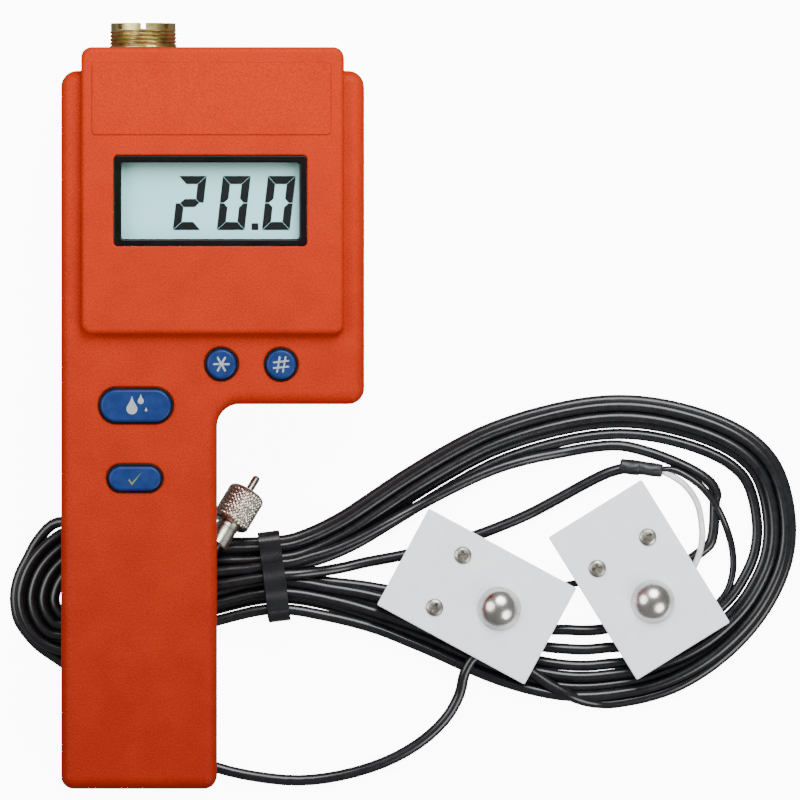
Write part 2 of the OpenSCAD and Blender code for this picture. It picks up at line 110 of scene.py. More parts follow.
def deselect():
    """Nothing selected and nothing active, so an operator acts only on what comes next."""
    if bpy.context.object and bpy.context.object.mode != "OBJECT":
        bpy.ops.object.mode_set(mode="OBJECT")
    bpy.ops.object.select_all(action="DESELECT")
    bpy.context.view_layer.objects.active = None


def pick(*objects):
    """Selects only these pieces, the first of them active."""
    deselect()
    for obj in objects:
        obj.select_set(True)
    bpy.context.view_layer.objects.active = objects[0]


def place(obj, matrix):
    """Moves the piece's mesh by matrix, leaving the object at the origin."""
    obj.matrix_world = matrix
    pick(obj)
    bpy.ops.object.transform_apply(location=True, rotation=True, scale=True)


def new_piece(name, points, edges=(), faces=()):
    """A mesh object from points in metres, linked to the scene."""
    mesh = bpy.data.meshes.new(name)
    mesh.from_pydata(points, edges, faces)
    obj = bpy.data.objects.new(name, mesh)
    bpy.context.collection.objects.link(obj)
    return obj


def tidy_mesh(obj, smooth_degrees=35, gap=1e-6):
    """Merges doubles, turns faces outwards and shades by angle."""
    pick(obj)
    bpy.ops.object.mode_set(mode="EDIT")
    bpy.ops.mesh.select_all(action="SELECT")
    bpy.ops.mesh.remove_doubles(threshold=gap)
    bpy.ops.mesh.normals_make_consistent(inside=False)
    bpy.ops.object.mode_set(mode="OBJECT")
    bpy.ops.object.shade_smooth_by_angle(angle=math.radians(smooth_degrees))


def modify(obj, kind, **values):
    """Adds one modifier with its values and applies it."""
    pick(obj)
    step = obj.modifiers.new(kind.lower(), kind)
    for key, value in values.items():
        setattr(step, key, value)
    bpy.ops.object.modifier_apply(modifier=step.name)


def carve(obj, tool, operation="DIFFERENCE"):
    """Joins the tool to obj or cuts it away, and removes the tool."""
    modify(obj, "BOOLEAN", object=tool, operation=operation, solver="EXACT")
    pick(tool)
    bpy.ops.object.delete()


def arc(cx, cy, radius, start, end, steps=8):
    """Points of a round corner, from start to end in degrees."""
    angles = [math.radians(start + (end - start) * i / steps) for i in range(steps + 1)]
    return [(cx + radius * math.cos(a), cy + radius * math.sin(a)) for a in angles]


def rounded(x0, y0, x1, y1, r, steps=8):
    """Outline of a rectangle with round corners, turning left."""
    return (arc(x1 - r, y0 + r, r, -90, 0, steps) + arc(x1 - r, y1 - r, r, 0, 90, steps)
            + arc(x0 + r, y1 - r, r, 90, 180, steps) + arc(x0 + r, y0 + r, r, 180, 270, steps))


def stadium(cx, cy, half, r, steps=20):
    """Outline of a slot with round ends along X, or a circle where half is 0."""
    return (arc(cx + half, cy, r, -90, 90, steps) + arc(cx - half, cy, r, 90, 270, steps))


def eased(outline, z0, z1, top=0.0, bottom=0.0, steps=5):
    """Rings for stacked: outline(inset) from z0 to z1, its edges rounded, a narrow flat beside each."""
    turns = [math.radians(90 * i / steps) for i in range(steps + 1)]
    beside = 0.04
    rings = []
    if bottom:
        rings.append((outline(bottom + beside), z0))
        rings += [(outline(bottom * (1 - math.sin(a))), z0 + bottom * (1 - math.cos(a))) for a in turns]
        rings.append((outline(0), z0 + bottom + beside))
    else:
        rings.append((outline(0), z0))
    if top:
        rings.append((outline(0), z1 - top - beside))
        rings += [(outline(top * (1 - math.cos(a))), z1 - top + top * math.sin(a)) for a in turns]
        rings.append((outline(top + beside), z1))
    else:
        rings.append((outline(0), z1))
    return rings


def lipped(outline, z0, face, lip, steps=4):
    """Rings of a cutting tool: outline(inset) from z0 up, flaring to round the hole's lip at face."""
    turns = [math.radians(90 * i / steps) for i in range(steps + 1)]
    flare = [(outline(-lip * (1 - math.cos(a))), face - lip + lip * math.sin(a)) for a in turns]
    return [(outline(0), z0)] + flare + [(outline(-lip), face + 1.0)]


def stacked(name, rings):
    """A solid skinned over outlines in millimetres, all of as many points, with flat ends."""
    count = len(rings[0][0])
    points = [Vector((x, y, z)) * MM for outline, z in rings for x, y in outline]
    faces = [tuple(reversed(range(count))), tuple(range(len(points) - count, len(points)))]
    for low in range(0, len(points) - count, count):
        faces += [(low + i, low + (i + 1) % count, low + count + (i + 1) % count, low + count + i)
                  for i in range(count)]
    obj = new_piece(name, points, faces=faces)
    tidy_mesh(obj)
    return obj


def turned(name, profile, steps=64, hollow=False):
    """A piece turned about +Z from rows of radius and height in millimetres, spun in edit mode."""
    edges = [(i, i + 1) for i in range(len(profile) - 1)]
    if hollow:
        edges.append((len(profile) - 1, 0))
    obj = new_piece(name, [(r * MM, 0.0, z * MM) for r, z in profile], edges)
    pick(obj)
    bpy.ops.object.mode_set(mode="EDIT")
    bpy.ops.mesh.select_all(action="SELECT")
    bpy.ops.mesh.spin(steps=steps, angle=math.tau, center=(0, 0, 0), axis=(0, 0, 1))
    bpy.ops.object.mode_set(mode="OBJECT")
    tidy_mesh(obj)
    return obj


def cut_flat(obj, point, normal):
    """Keeps the side of the plane that normal points away from, and closes the cut."""
    pick(obj)
    bpy.ops.object.mode_set(mode="EDIT")
    bpy.ops.mesh.select_all(action="SELECT")
    bpy.ops.mesh.bisect(plane_co=point, plane_no=normal, use_fill=True, clear_outer=True)
    bpy.ops.object.mode_set(mode="OBJECT")


def moved(obj, x, y, z, turn=0.0):
    """Turns the piece about Z and moves it, in millimetres."""
    place(obj, Matrix.Translation(Vector((x, y, z)) * MM) @ Matrix.Rotation(turn, 4, "Z"))
    return obj


def joined(name, pieces):
    """The pieces as one mesh under a new name."""
    pick(*pieces)
    bpy.ops.object.join()
    whole = bpy.context.object
    whole.name = name
    return whole


def settle(obj, body, finish, slot, *nodes):
    """Gives a finished piece its material, the body it rides on and the CAD nodes it stands for."""
    obj.data.materials.clear()
    obj.data.materials.append(finish)
    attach(obj, body)
    if nodes:
        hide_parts(*nodes)
    return obj


# ---------------------------------------------------------------- material helpers

def linear(hex_colour):
    """sRGB hex to linear red, green, blue and alpha."""
    parts = [int(hex_colour[i:i + 2], 16) / 255 for i in (0, 2, 4)]
    return [c / 12.92 if c <= 0.04045 else ((c + 0.055) / 1.055) ** 2.4 for c in parts] + [1.0]


def start_material(name, **shader):
    """A new material, its node tree and its Principled shader with constant values set."""
    material = bpy.data.materials.new(name)
    material.use_nodes = True
    tree = material.node_tree
    bsdf = tree.nodes["Principled BSDF"]
    for key, value in shader.items():
        bsdf.inputs[key.replace("_", " ")].default_value = value
    return material, tree, bsdf


def add(tree, kind, links=None, **values):
    """Adds one node: values set its properties or inputs by name, links feed its inputs."""
    node = tree.nodes.new(kind)
    for key, value in values.items():
        if hasattr(node, key):
            setattr(node, key, value)
        else:
            node.inputs[key.replace("_", " ")].default_value = value
    for key, source in (links or {}).items():
        tree.links.new(source, node.inputs[key])
    return node


def ramp(tree, source, stops):
    """Colour ramp through stops of position and hex colour or grey value."""
    node = add(tree, "ShaderNodeValToRGB", {"Fac": source})
    row = node.color_ramp
    while len(row.elements) < len(stops):
        row.elements.new(0.5)
    for element, (position, colour) in zip(row.elements, stops):
        element.position = position
        element.color = linear(colour) if isinstance(colour, str) else (colour, colour, colour, 1.0)
    return node.outputs["Color"]


# ---------------------------------------------------------------- materials

def object_point(tree):
    """Object coordinates, in metres."""
    return add(tree, "ShaderNodeTexCoord").outputs["Object"]


def noise(tree, where, size_mm, detail=3.0, roughness=0.55):
    """Noise whose lumps are about size_mm across."""
    node = add(tree, "ShaderNodeTexNoise", {"Vector": where}, Scale=1000 / size_mm,
               Detail=detail, Roughness=roughness)
    return node.outputs["Fac"]


def tinted(tree, colour, shade, amount):
    """colour multiplied by shade, by amount."""
    mix = add(tree, "ShaderNodeMix", data_type="RGBA", blend_type="MULTIPLY")
    mix.inputs[0].default_value = amount
    tree.links.new(colour, mix.inputs[6])
    tree.links.new(shade, mix.inputs[7])
    return mix.outputs[2]


def bumped(tree, bsdf, height, depth_mm, strength=1.0):
    """Gives the shader a bump of depth_mm from a height between 0 and 1."""
    bump = add(tree, "ShaderNodeBump", {"Height": height}, Strength=strength, Distance=depth_mm * MM)
    tree.links.new(bump.outputs["Normal"], bsdf.inputs["Normal"])


def moulded_abs(name, upper, lower):
    """Moulded ABS with a spark-eroded grain: pebbled bumps of 0.5 mm, satin, a little uneven in colour.

    It deepens from upper at the head to lower at the end of the handle, a painted shade for the light falling
    off down the handle."""
    material, tree, bsdf = start_material(name, IOR=1.53, Specular_IOR_Level=0.1)
    head_y, handle_y = 0.085, -0.1
    where = object_point(tree)
    along = add(tree, "ShaderNodeSeparateXYZ", {"Vector": where}).outputs["Y"]
    # Painted shade: the colour darkens from the head to the end of the handle, where the light is weaker,
    # with random drift on top.
    down = add(tree, "ShaderNodeMapRange", {"Value": along}, From_Min=head_y, From_Max=handle_y)
    clouds = noise(tree, where, 9, 5.0)
    grain = noise(tree, where, 0.5, 3.0, 0.6)
    drift = add(tree, "ShaderNodeMapRange", {"Value": clouds}, From_Min=0.3, From_Max=0.7,
                To_Min=-0.14, To_Max=0.14)
    place_on_ramp = add(tree, "ShaderNodeMath", {0: down.outputs["Result"], 1: drift.outputs["Result"]},
                        operation="ADD")
    colour = ramp(tree, place_on_ramp.outputs["Value"], [(0.0, upper), (1.0, lower)])
    speck = ramp(tree, grain, [(0.36, 0.72), (0.62, 1.0)])
    tree.links.new(tinted(tree, colour, speck, 0.85), bsdf.inputs["Base Color"])
    tree.links.new(ramp(tree, grain, [(0.3, 0.6), (0.7, 0.4)]), bsdf.inputs["Roughness"])
    bumped(tree, bsdf, grain, 0.15, 0.9)
    return material


def soft_moulding(name, colour, roughness, grain_mm=0.5, depth_mm=0.02, mottle=0.9, mottle_mm=3,
                  specular=0.5):
    """Plain moulded plastic or rubber: fine grain, slight mottling and uneven gloss."""
    material, tree, bsdf = start_material(name, IOR=1.5, Specular_IOR_Level=specular)
    where = object_point(tree)
    grain = noise(tree, where, grain_mm)
    clouds = noise(tree, where, mottle_mm, 4.0)
    base = ramp(tree, clouds, [(0.0, colour), (1.0, colour)])
    shade = ramp(tree, clouds, [(0.35, mottle), (0.65, 1.0)])
    tree.links.new(tinted(tree, base, shade, 1.0), bsdf.inputs["Base Color"])
    tree.links.new(ramp(tree, clouds, [(0.3, roughness * 0.85), (0.7, min(roughness * 1.15, 1.0))]),
                   bsdf.inputs["Roughness"])
    bumped(tree, bsdf, grain, depth_mm)
    return material


def pvc_jacket(name, colour, scuff):
    """Extruded PVC: smooth and semi-gloss, with faint rubs and dust along it."""
    material, tree, bsdf = start_material(name, IOR=1.53, Specular_IOR_Level=0.45)
    where = object_point(tree)
    dust = noise(tree, where, 2.2, 6.0, 0.65)
    rubs = noise(tree, where, 14, 4.0)
    tree.links.new(ramp(tree, dust, [(0.35, colour), (0.8, scuff)]), bsdf.inputs["Base Color"])
    tree.links.new(ramp(tree, rubs, [(0.3, 0.2), (0.7, 0.32)]), bsdf.inputs["Roughness"])
    bumped(tree, bsdf, dust, 0.03, 0.5)
    return material


def plated(name, light, dark, roughness, scratch_mm=0.35):
    """Plated or machined metal: faint tool marks, duller where it has been handled."""
    material, tree, bsdf = start_material(name, Metallic=1.0)
    where = object_point(tree)
    handled = noise(tree, where, 4, 5.0)
    marks = noise(tree, where, scratch_mm, 2.0)
    tree.links.new(ramp(tree, handled, [(0.3, dark), (0.62, light)]), bsdf.inputs["Base Color"])
    tree.links.new(ramp(tree, handled, [(0.3, roughness * 1.5), (0.7, roughness)]), bsdf.inputs["Roughness"])
    bumped(tree, bsdf, marks, 0.01, 0.4)
    return material


def polished_steel(name):
    """Stainless steel, turned and buffed to a soft shine, with hair-fine swirls."""
    return plated(name, "D0CDC8", "A8A49F", 0.2, 0.25)


def polyethylene(name, colour):
    """Sawn white polyethylene sheet: waxy, light passes a little way in, cloudy to the eye."""
    material, tree, bsdf = start_material(name, IOR=1.51, Subsurface_Weight=0.25, Subsurface_Scale=2.0 * MM,
                                          Roughness=0.42)
    where = object_point(tree)
    clouds = noise(tree, where, 7, 4.0)
    saw = noise(tree, where, 0.8, 2.0)
    base = ramp(tree, clouds, [(0.3, "E6EBF3"), (0.7, colour)])
    tree.links.new(base, bsdf.inputs["Base Color"])
    bumped(tree, bsdf, saw, 0.03, 0.4)
    return material


def clear_acrylic(name):
    """Clear acrylic window: almost invisible face on, with a soft gloss and faint wipe marks."""
    material, tree, bsdf = start_material(name, IOR=1.49, Alpha=0.05, Roughness=0.12,
                                          Specular_IOR_Level=0.2)
    where = object_point(tree)
    wipes = noise(tree, where, 6, 4.0)
    tree.links.new(ramp(tree, wipes, [(0.3, "3A4242"), (0.7, "4A5252")]), bsdf.inputs["Base Color"])
    return material


def lcd_reflector_shaded_top(name):
    """The pale blue-green reflector behind a liquid crystal: fine grain, darker at its upper edge, a painted
    shadow of the frame over it.
    """
    material, tree, bsdf = start_material(name, Roughness=0.45, Specular_IOR_Level=0.3)
    where = object_point(tree)
    along = add(tree, "ShaderNodeSeparateXYZ", {"Vector": where}).outputs["Y"]
    low, high = box_of("lcd_bezel")
    # Painted shadow: the ramp is lightest at the lower edge and darkest at the upper edge, the shade the
    # frame casts on the reflector.
    fall = add(tree, "ShaderNodeMapRange", {"Value": along}, From_Min=low.y + 3 * MM,
               From_Max=high.y - 1 * MM)
    base = ramp(tree, fall.outputs["Result"],
                [(0.0, "B6F8FF"), (0.6, "AAEBF0"), (0.92, "93C2BC"), (1.0, "80A69C")])
    grain = ramp(tree, noise(tree, where, 0.3), [(0.3, 0.95), (0.7, 1.0)])
    tree.links.new(tinted(tree, base, grain, 1.0), bsdf.inputs["Base Color"])
    return material


def circuit_laminate(name):
    """Green solder mask over copper: glossy, with darker and lighter patches where tracks run."""
    material, tree, bsdf = start_material(name, IOR=1.55, Roughness=0.3, Coat_Weight=0.3)
    where = object_point(tree)
    track_mm = 4.0
    tracks = add(tree, "ShaderNodeTexVoronoi", {"Vector": where}, Scale=1000 / track_mm,
                 feature="DISTANCE_TO_EDGE")
    tree.links.new(ramp(tree, tracks.outputs["Distance"], [(0.04, "2F8A55"), (0.1, "145230")]),
                   bsdf.inputs["Base Color"])
    bumped(tree, bsdf, tracks.outputs["Distance"], 0.04, 0.5)
    return material


FINISH = {}


def make_finishes():
    """Every finish of the meter and its lead, by its plain name."""
    case, lead = case_settings(), lead_settings()
    FINISH.update(
        case=moulded_abs("abs_orange_grained_shaded_handle", case.orange, case.shaded_handle_orange),
        back=moulded_abs("abs_orange_back_shaded_handle", case.orange, case.shaded_handle_orange),
        key=soft_moulding("abs_blue_key", case.blue, 0.42, 0.4, 0.03, 0.8, 2.5, 0.25),
        mark=soft_moulding("ink_silver_key_mark", "9EA3A6", 0.35, 0.4, 0.01, 0.7, 0.6, 0.2),
        tick=soft_moulding("ink_olive_key_mark", "6E7A4C", 0.4, 0.4, 0.01, 0.7, 0.6, 0.2),
        seal=soft_moulding("silicone_black_seal", "08080A", 0.6, specular=0.2),
        bezel=soft_moulding("acrylic_black_frame", "080709", 0.3, 0.6, 0.01, 0.85, 4, 0.15),
        segment=soft_moulding("liquid_crystal_dark", "060809", 0.6, 0.4, 0.002, 0.9, 3, 0.1),
        lens=clear_acrylic("acrylic_clear_window"),
        lcd=lcd_reflector_shaded_top("lcd_reflector_shaded_top"),
        cable=pvc_jacket("pvc_black_jacket", lead.black, "1E1F23"),
        white_wire=pvc_jacket("pvc_white_insulation", "ECECEA", "CFCFCC"),
        red_wire=pvc_jacket("pvc_red_insulation", "B01818", "8A1212"),
        strap=soft_moulding("vinyl_black_strap", "141518", 0.3, 0.5, 0.03, 0.75, 5),
        shrink=soft_moulding("polyolefin_heat_shrink", "1A1B1D", 0.45, 0.9, 0.03, 0.8, 2),
        nickel=plated("nickel_plated_brass", "D6D0C4", "9F978A", 0.24),
        brass=plated("brass_turned", "CDBF84", "7D7440", 0.3),
        gold=plated("brass_gold_plated", "E3C27A", "B48A3C", 0.2),
        steel=polished_steel("steel_polished"),
        screw=plated("steel_zinc_plated", "A8A49C", "5E5B55", 0.3),
        pad=polyethylene("polyethylene_white_sheet", lead.pad_white),
        ptfe=soft_moulding("ptfe_white", "EDE9DE", 0.45, 0.4, 0.01, 0.92, 2),
        board=circuit_laminate("laminate_green_mask"),
        chip=soft_moulding("epoxy_black_package", "17181A", 0.5, 0.3, 0.02),
        battery=plated("steel_painted_can", "3C424C", "2A2E36", 0.4),
    )


# ---------------------------------------------------------------- stage

def soft_light(name, where, aim, size, watts):
    """A round soft box at where, pointed at aim."""
    light = bpy.data.lights.new(name, "AREA")
    light.shape, light.size, light.energy = "DISK", size, watts
    lamp = bpy.data.objects.new(name, light)
    lamp.location = where
    lamp.rotation_euler = (Vector(aim) - Vector(where)).to_track_quat("-Z", "Y").to_euler()
    bpy.context.collection.objects.link(lamp)


class METER_OT_stage(bpy.types.Operator):
    """Pale floor, soft studio light and a camera looking straight down"""
    bl_idname = "meter.stage"
    bl_label = "Stage"

    def execute(self, context):
        view_width, eye_height, aim = 0.226, 6.0, Vector((0.0528, 0.0016, 0.02))
        head = (0.0, 0.05, 0.03)
        camera = bpy.data.cameras.new("camera")
        camera.sensor_width = 36.0
        camera.lens = camera.sensor_width * (eye_height - aim.z) / view_width
        camera.clip_start, camera.clip_end = 0.1, 20.0
        eye = bpy.data.objects.new("camera", camera)
        eye.location = (aim.x, aim.y, eye_height)
        context.collection.objects.link(eye)
        context.scene.camera = eye

        deselect()
        bpy.ops.mesh.primitive_plane_add(size=8.0, location=(0, 0, -0.0005))
        floor = context.object
        floor.name = "floor"
        paper, tree, bsdf = start_material("backlit_white_floor", Roughness=0.9, Specular_IOR_Level=0.2,
                                           Emission_Color=(1, 1, 1, 1), Emission_Strength=10.0)
        fibres = noise(tree, object_point(tree), 40, 3.0)
        tree.links.new(ramp(tree, fibres, [(0.3, "F7F7F6"), (0.7, "FAFAFA")]), bsdf.inputs["Base Color"])
        floor.data.materials.append(paper)
        # It glows white to the eye and throws no light on the pieces
        floor.visible_diffuse = floor.visible_glossy = False

        world = bpy.data.worlds.new("studio")
        world.use_nodes = True
        sky = world.node_tree.nodes["Background"]
        sky.inputs["Color"].default_value = (1, 1, 1, 1)
        sky.inputs["Strength"].default_value = 0.28
        context.scene.world = world
        soft_light("key", (0.16, 0.42, 0.5), head, 0.5, 7.6)
        soft_light("fill", (-0.5, 0.1, 0.55), aim, 0.6, 4.8)
        soft_light("low", (0.5, -0.4, 0.45), aim, 0.5, 4.2)
        return {"FINISHED"}


# ---------------------------------------------------------------- cable routes, in millimetres

STRAP_X_MM, STRAP_LIFT_MM, STRAP_SPREAD_MM = 17.0, 0.85, 11.0

# Gaps from each turn to the next inwards. Gaps near one radius nest the turns in two layers, gaps of a
# diameter or more lay them flat, and a last gap of nothing or less puts the innermost turn on top.
FLAT = (3.15,) * 7
OPENING = (2.4,) * 7
TIGHT = (1.6,) * 7
LOW = (1.0, 3.15, 1.6, 1.6, 1.6, 1.6, 1.4)
PINCH_LOW = (1.0, 3.15, 1.6, 1.6, 1.6, 1.6, 0.0)
LOOSE = (2.6, 2.6, 2.9, 3.1, 4.6, 5.4, 3.15)


def five_close(gap, fifth, last):
    """Gaps of a run whose first turns lie close together and whose innermost stands off by last."""
    return (gap, gap, gap, gap, fifth, last, 3.15)


# Middle of the outermost turn, from behind the handle round to the left, and its gaps
WINDING = [
    (-18, -30, FLAT), (-32, -30.5, OPENING), (-44, -35, TIGHT), (-52.5, -43, TIGHT),
    (-56.2, -53, TIGHT), (-54.6, -62, TIGHT), (-48.5, -68.8, TIGHT), (-38, -70.8, LOW),
    (-22, -67.5, LOW), (-4, -63.3, LOW), (6, -60.6, PINCH_LOW), (17, -58.6, PINCH_LOW),
    (30, -60.2, PINCH_LOW), (46, -65.5, five_close(2.2, 2.4, 2.6)), (62, -72.5, five_close(2.6, 3.0, 3.1)),
    (80, -80.3, five_close(2.7, 3.8, 4.6)), (98, -84.6, LOOSE), (114, -84.2, LOOSE),
    (130, -80.2, five_close(2.5, 4.2, 9.0)), (144, -71.5, five_close(2.0, 3.5, 14.0)),
    (155, -59.8, five_close(1.7, 3.2, 16.2)), (162, -46, five_close(1.6, 3.2, 12.9)),
    (163.5, -32, five_close(1.6, 3.2, 12.2)), (159.5, -17, five_close(1.6, 3.2, 10.4)),
    (149.5, -7.2, five_close(1.6, 3.2, 7.4)), (133, -0.8, five_close(1.6, 3.2, 5.4)),
    (115, 1.6, five_close(1.6, 3.2, 3.3)), (96, -0.9, five_close(1.6, 3.2, 3.1)),
    (75, -7.8, five_close(1.6, 3.2, 1.6)), (53.5, -20, five_close(1.6, 3.2, 0)),
    (37, -31, five_close(1.6, 2.4, -1.0)), (25, -36.8, five_close(1.6, 1.6, -1.6)),
    (17, -38.4, five_close(1.6, 1.6, -1.6)), (3, -38.6, five_close(1.8, 2.2, -1.0)),
    (-6, -35.6, five_close(2.6, 3.15, 1.2)),
]
TURNS = 7
# Stations: the stray turn follows the winding between the first two and joins it again at the third,
# the cable leaves at the fourth of the turn after the last, and past the fifth the inner turns ride on top
LOBE_IN, LOBE_OUT, LOOP_BACK, LAST_OUT, RIDES_AFTER = 3, 5, 17, 10, 27

# The cable outside the winding: from the plug, the stray turn, and out to the splice
START_ROUTE = [
    (-1.8, -43.7, 10), (-5, -47, 9.6), (-10, -49, 8.2), (-16, -48.5, 6.4), (-22, -45.5, 5.2),
    (-28, -41, 4.75), (-34, -36.5, 4.75), (-40, -33.1, 5.4), (-45.5, -33.6, 3.4), (-50, -38.4, 1.6)]
LOOP_ROUTE = [
    (-50, -67.6, 1.6), (-44, -71.9, 1.6), (-36, -77.5, 1.6), (-28, -84.5, 1.6), (-19, -92, 1.6),
    (-9, -98.4, 1.6), (1, -102.6, 1.6), (12, -105.1, 1.6), (24, -106.2, 1.6), (36, -104.8, 1.6),
    (48, -101.2, 1.6), (58, -95.8, 1.6), (65.5, -89, 1.6), (69.6, -82, 2.2), (71.2, -75.5, 4.3),
    (74.6, -70.8, 4.75), (81, -70.4, 4.75), (88, -74.2, 4.75), (95, -78.9, 4.75),
    (100.5, -81.9, 4.3), (105, -83.6, 2.8), (109.5, -84.3, 1.6)]
END_ROUTE = [
    (17, -48.1, 7.7), (20.5, -47.8, 7.5), (24, -47.6, 6.9), (28, -47.2, 5.6), (32, -46.7, 3.8),
    (37, -45.8, 2.2), (43, -44.4, 1.6), (50, -43.1, 1.6), (57, -41.7, 1.6), (64, -39.9, 1.6),
    (72, -37.6, 1.6), (80, -34.7, 1.6), (89, -30.9, 1.6), (97, -26.7, 1.6), (105, -22.3, 1.8),
    (112, -18.9, 2), (118, -17.4, 2.2)]
BLACK_ROUTE = [
    (130.2, -18.2, 2.9), (134.5, -20.2, 3.6), (138.6, -23.4, 4.2), (142.4, -28.4, 3.9),
    (145.2, -34.4, 1.8), (147, -41, 1.1), (147, -47.8, 1.1), (144.6, -54, 1.1), (139, -58.6, 1.1),
    (132, -59.2, 1.8), (125.5, -56.6, 3.9), (119.5, -53.4, 4), (112.5, -51, 2.2), (104, -50.2, 1.1),
    (96.5, -52, 1.1), (91, -55.4, 2.8), (87.6, -57.8, 5.4), (84.8, -58.4, 7.6)]
WHITE_ROUTE = [
    (130, -20, 2.8), (133.8, -22.8, 2.6), (136.9, -27.4, 1.6), (138.2, -33, 1.4),
    (138.3, -38.5, 3.2), (137, -43.5, 4.1), (134.6, -48, 4.1), (131.6, -51.8, 4.9), (128.3, -54.4, 7.6)]
SPLICE_END_MM = (126.6, -18.4, 2.4)

PLUG_MM = Vector((7.06, -29.0, 6.8))
PLUG_TURN, PLUG_TILT = math.radians(59), math.radians(14)
PLUG_AXIS = Vector((math.cos(PLUG_TURN) * math.cos(PLUG_TILT),
                    math.sin(PLUG_TURN) * math.cos(PLUG_TILT), -math.sin(PLUG_TILT)))
PLUG_TAIL_MM = (7.2, 9.6)


def ease(t):
    """Smooth step from 0 to 1."""
    t = min(max(t, 0.0), 1.0)
    return t * t * (3 - 2 * t)


def between(a, b, c, d, t):
    """Catmull-Rom curve from b to c."""
    return 0.5 * (2 * b + t * (c - a) + t * t * (2 * a - 5 * b + 4 * c - d)
                  + t ** 3 * (3 * b - a - 3 * c + d))


def smooth_route(points, steps):
    """A smooth curve through the points of an open route."""
    points = [Vector(p) for p in points]
    last = len(points) - 1
    curve = [between(points[max(i - 1, 0)], points[i], points[i + 1], points[min(i + 2, last)], s / steps)
             for i in range(last) for s in range(steps)]
    return curve + [points[-1]]


def riding_height(across, thick):
    """How far a strand lies above one that it crosses over at the given distance across."""
    return math.sqrt(thick ** 2 - across ** 2) if abs(across) < thick else 0.0


def lane_heights(gaps, top_rides):
    """Middle height of each turn: odd ones nest on even ones, and the innermost ride over what is below."""
    thick = 2 * CABLE_R_MM
    riders = (TURNS - 1, TURNS) if top_rides else (TURNS,)
    heights = []
    for lane in range(TURNS + 1):
        gaps_beside = [gaps[j] for j in (lane - 1, lane) if 0 <= j < TURNS and j + 1 not in riders]
        nested = max((riding_height(g, thick) for g in gaps_beside), default=0.0) if lane % 2 else 0.0
        heights.append(CABLE_R_MM + nested)
    for lane in riders:
        across, under = 0.0, [CABLE_R_MM]
        for j in range(lane - 1, 1, -1):
            across += gaps[j]
            if abs(across) < thick:
                under.append(heights[j] + riding_height(across, thick))
        heights[lane] = max(under)
    return heights


def winding_point(travel):
    """The cable's place after travel stations: each turn moves one lane inwards behind the handle."""
    count = len(WINDING)
    i, t = math.floor(travel), travel - math.floor(travel)
    rows = [WINDING[(i + k) % count] for k in (-1, 0, 1, 2)]
    flats = [Vector(row[:2]) for row in rows]
    middle = between(*flats, t)
    step = 0.02
    along = (between(*flats, t + step) - between(*flats, t - step)).normalized()
    gaps = [a + (b - a) * ease(t) for a, b in zip(rows[1][2], rows[2][2])]
    lane = sum(ease((travel - turn * count + 1) / 2) for turn in range(1, TURNS + 1))
    outer = min(int(lane), TURNS - 1)
    part = lane - outer
    heights = lane_heights(gaps, travel % count > RIDES_AFTER)
    inwards = sum(gaps[:outer]) + gaps[outer] * part
    flat = middle + Vector((-along.y, along.x)) * inwards
    height = heights[outer] * (1 - part) + heights[outer + 1] * part
    strap = STRAP_LIFT_MM * math.exp(-((flat.x - STRAP_X_MM) / STRAP_SPREAD_MM) ** 2)
    return Vector((flat.x, flat.y, height + strap))


def winding_run(first, last, each=0.5):
    """Points of the winding from one station to another."""
    return [winding_point(first + k * each) for k in range(int(round((last - first) / each)) + 1)]


def cable_route():
    """The whole cable from the plug's tail to the splice, in millimetres."""
    count = len(WINDING)
    tail = [PLUG_MM - PLUG_AXIS * back for back in PLUG_TAIL_MM]
    controls = (tail + START_ROUTE + winding_run(LOBE_IN, LOBE_OUT) + LOOP_ROUTE
                + winding_run(LOOP_BACK, TURNS * count + LAST_OUT) + END_ROUTE)
    return smooth_route(controls, 3)


def cord_curve(name, route_mm, diameter, ring_steps=4):
    """A round cord as one open curve, and its length, both in metres."""
    points = [Vector(p) * MM for p in route_mm]
    curve = bpy.data.curves.new(name, "CURVE")
    curve.dimensions = "3D"
    curve.bevel_depth = diameter / 2
    curve.bevel_resolution = ring_steps
    curve.use_fill_caps = True
    spline = curve.splines.new("POLY")
    spline.points.add(len(points) - 1)
    for knot, point in zip(spline.points, points):
        knot.co = (*point, 1)
    spline.use_smooth = True
    obj = bpy.data.objects.new(name, curve)
    bpy.context.collection.objects.link(obj)
    return obj, sum((b - a).length for a, b in zip(points, points[1:]))


# ---------------------------------------------------------------- operators: the lead

class METER_OT_lead_cable(bpy.types.Operator):
    """Thin black cable: seven turns under the strap, the first of which strays in a wide loop"""
    bl_idname = "meter.lead_cable"
    bl_label = "Lead cable"

    def execute(self, context):
        route, diameter = cable_route(), lead_settings().diameter
        cable, length = cord_curve("lead_cable", route, diameter)
        settle(cable, "meter", FINISH["cable"], "cable", "lead_start", "lead_coil", "lead_loop", "lead_end")
        return {"FINISHED"}


# ---------------------------------------------------------------- the case's shape, in millimetres

CASE_LOW, CASE_HIGH = (corner / MM for corner in box_of("front_shell"))
HEAD_X, HANDLE_END, SPLIT, BLOCK_FRONT = CASE_HIGH.x, CASE_LOW.y, CASE_LOW.z, CASE_HIGH.z
BLOCK_TOP = CASE_HIGH.y
HEAD_LOW, HEAD_TOP, HANDLE_RIGHT, FRONT = 0.4, 94.4, 1.1, 38.0
HEAD_R, HANDLE_R, THROAT_R, WALL = 4.5, 3.5, 6.3, 2.4
BLOCK_X, BLOCK_LOW, BLOCK_R = 37.0, 20.1, 3.0
WINDOW = (-27.8, 44.9, 26.6, 70.5)
NAME_PLATE = (-34.0, 76.2, 33.4, 96.6)
KEYS = {"star_key": (2.5, 11.7, 0.0, 4.2), "hash_key": (19.3, 11.6, 0.0, 4.2),
        "drop_key": (-21.6, 0.0, 5.4, 4.6), "tick_key": (-21.9, -20.5, 3.95, 3.45)}
KEY_GAP, KEY_TOP = 0.62, 39.4


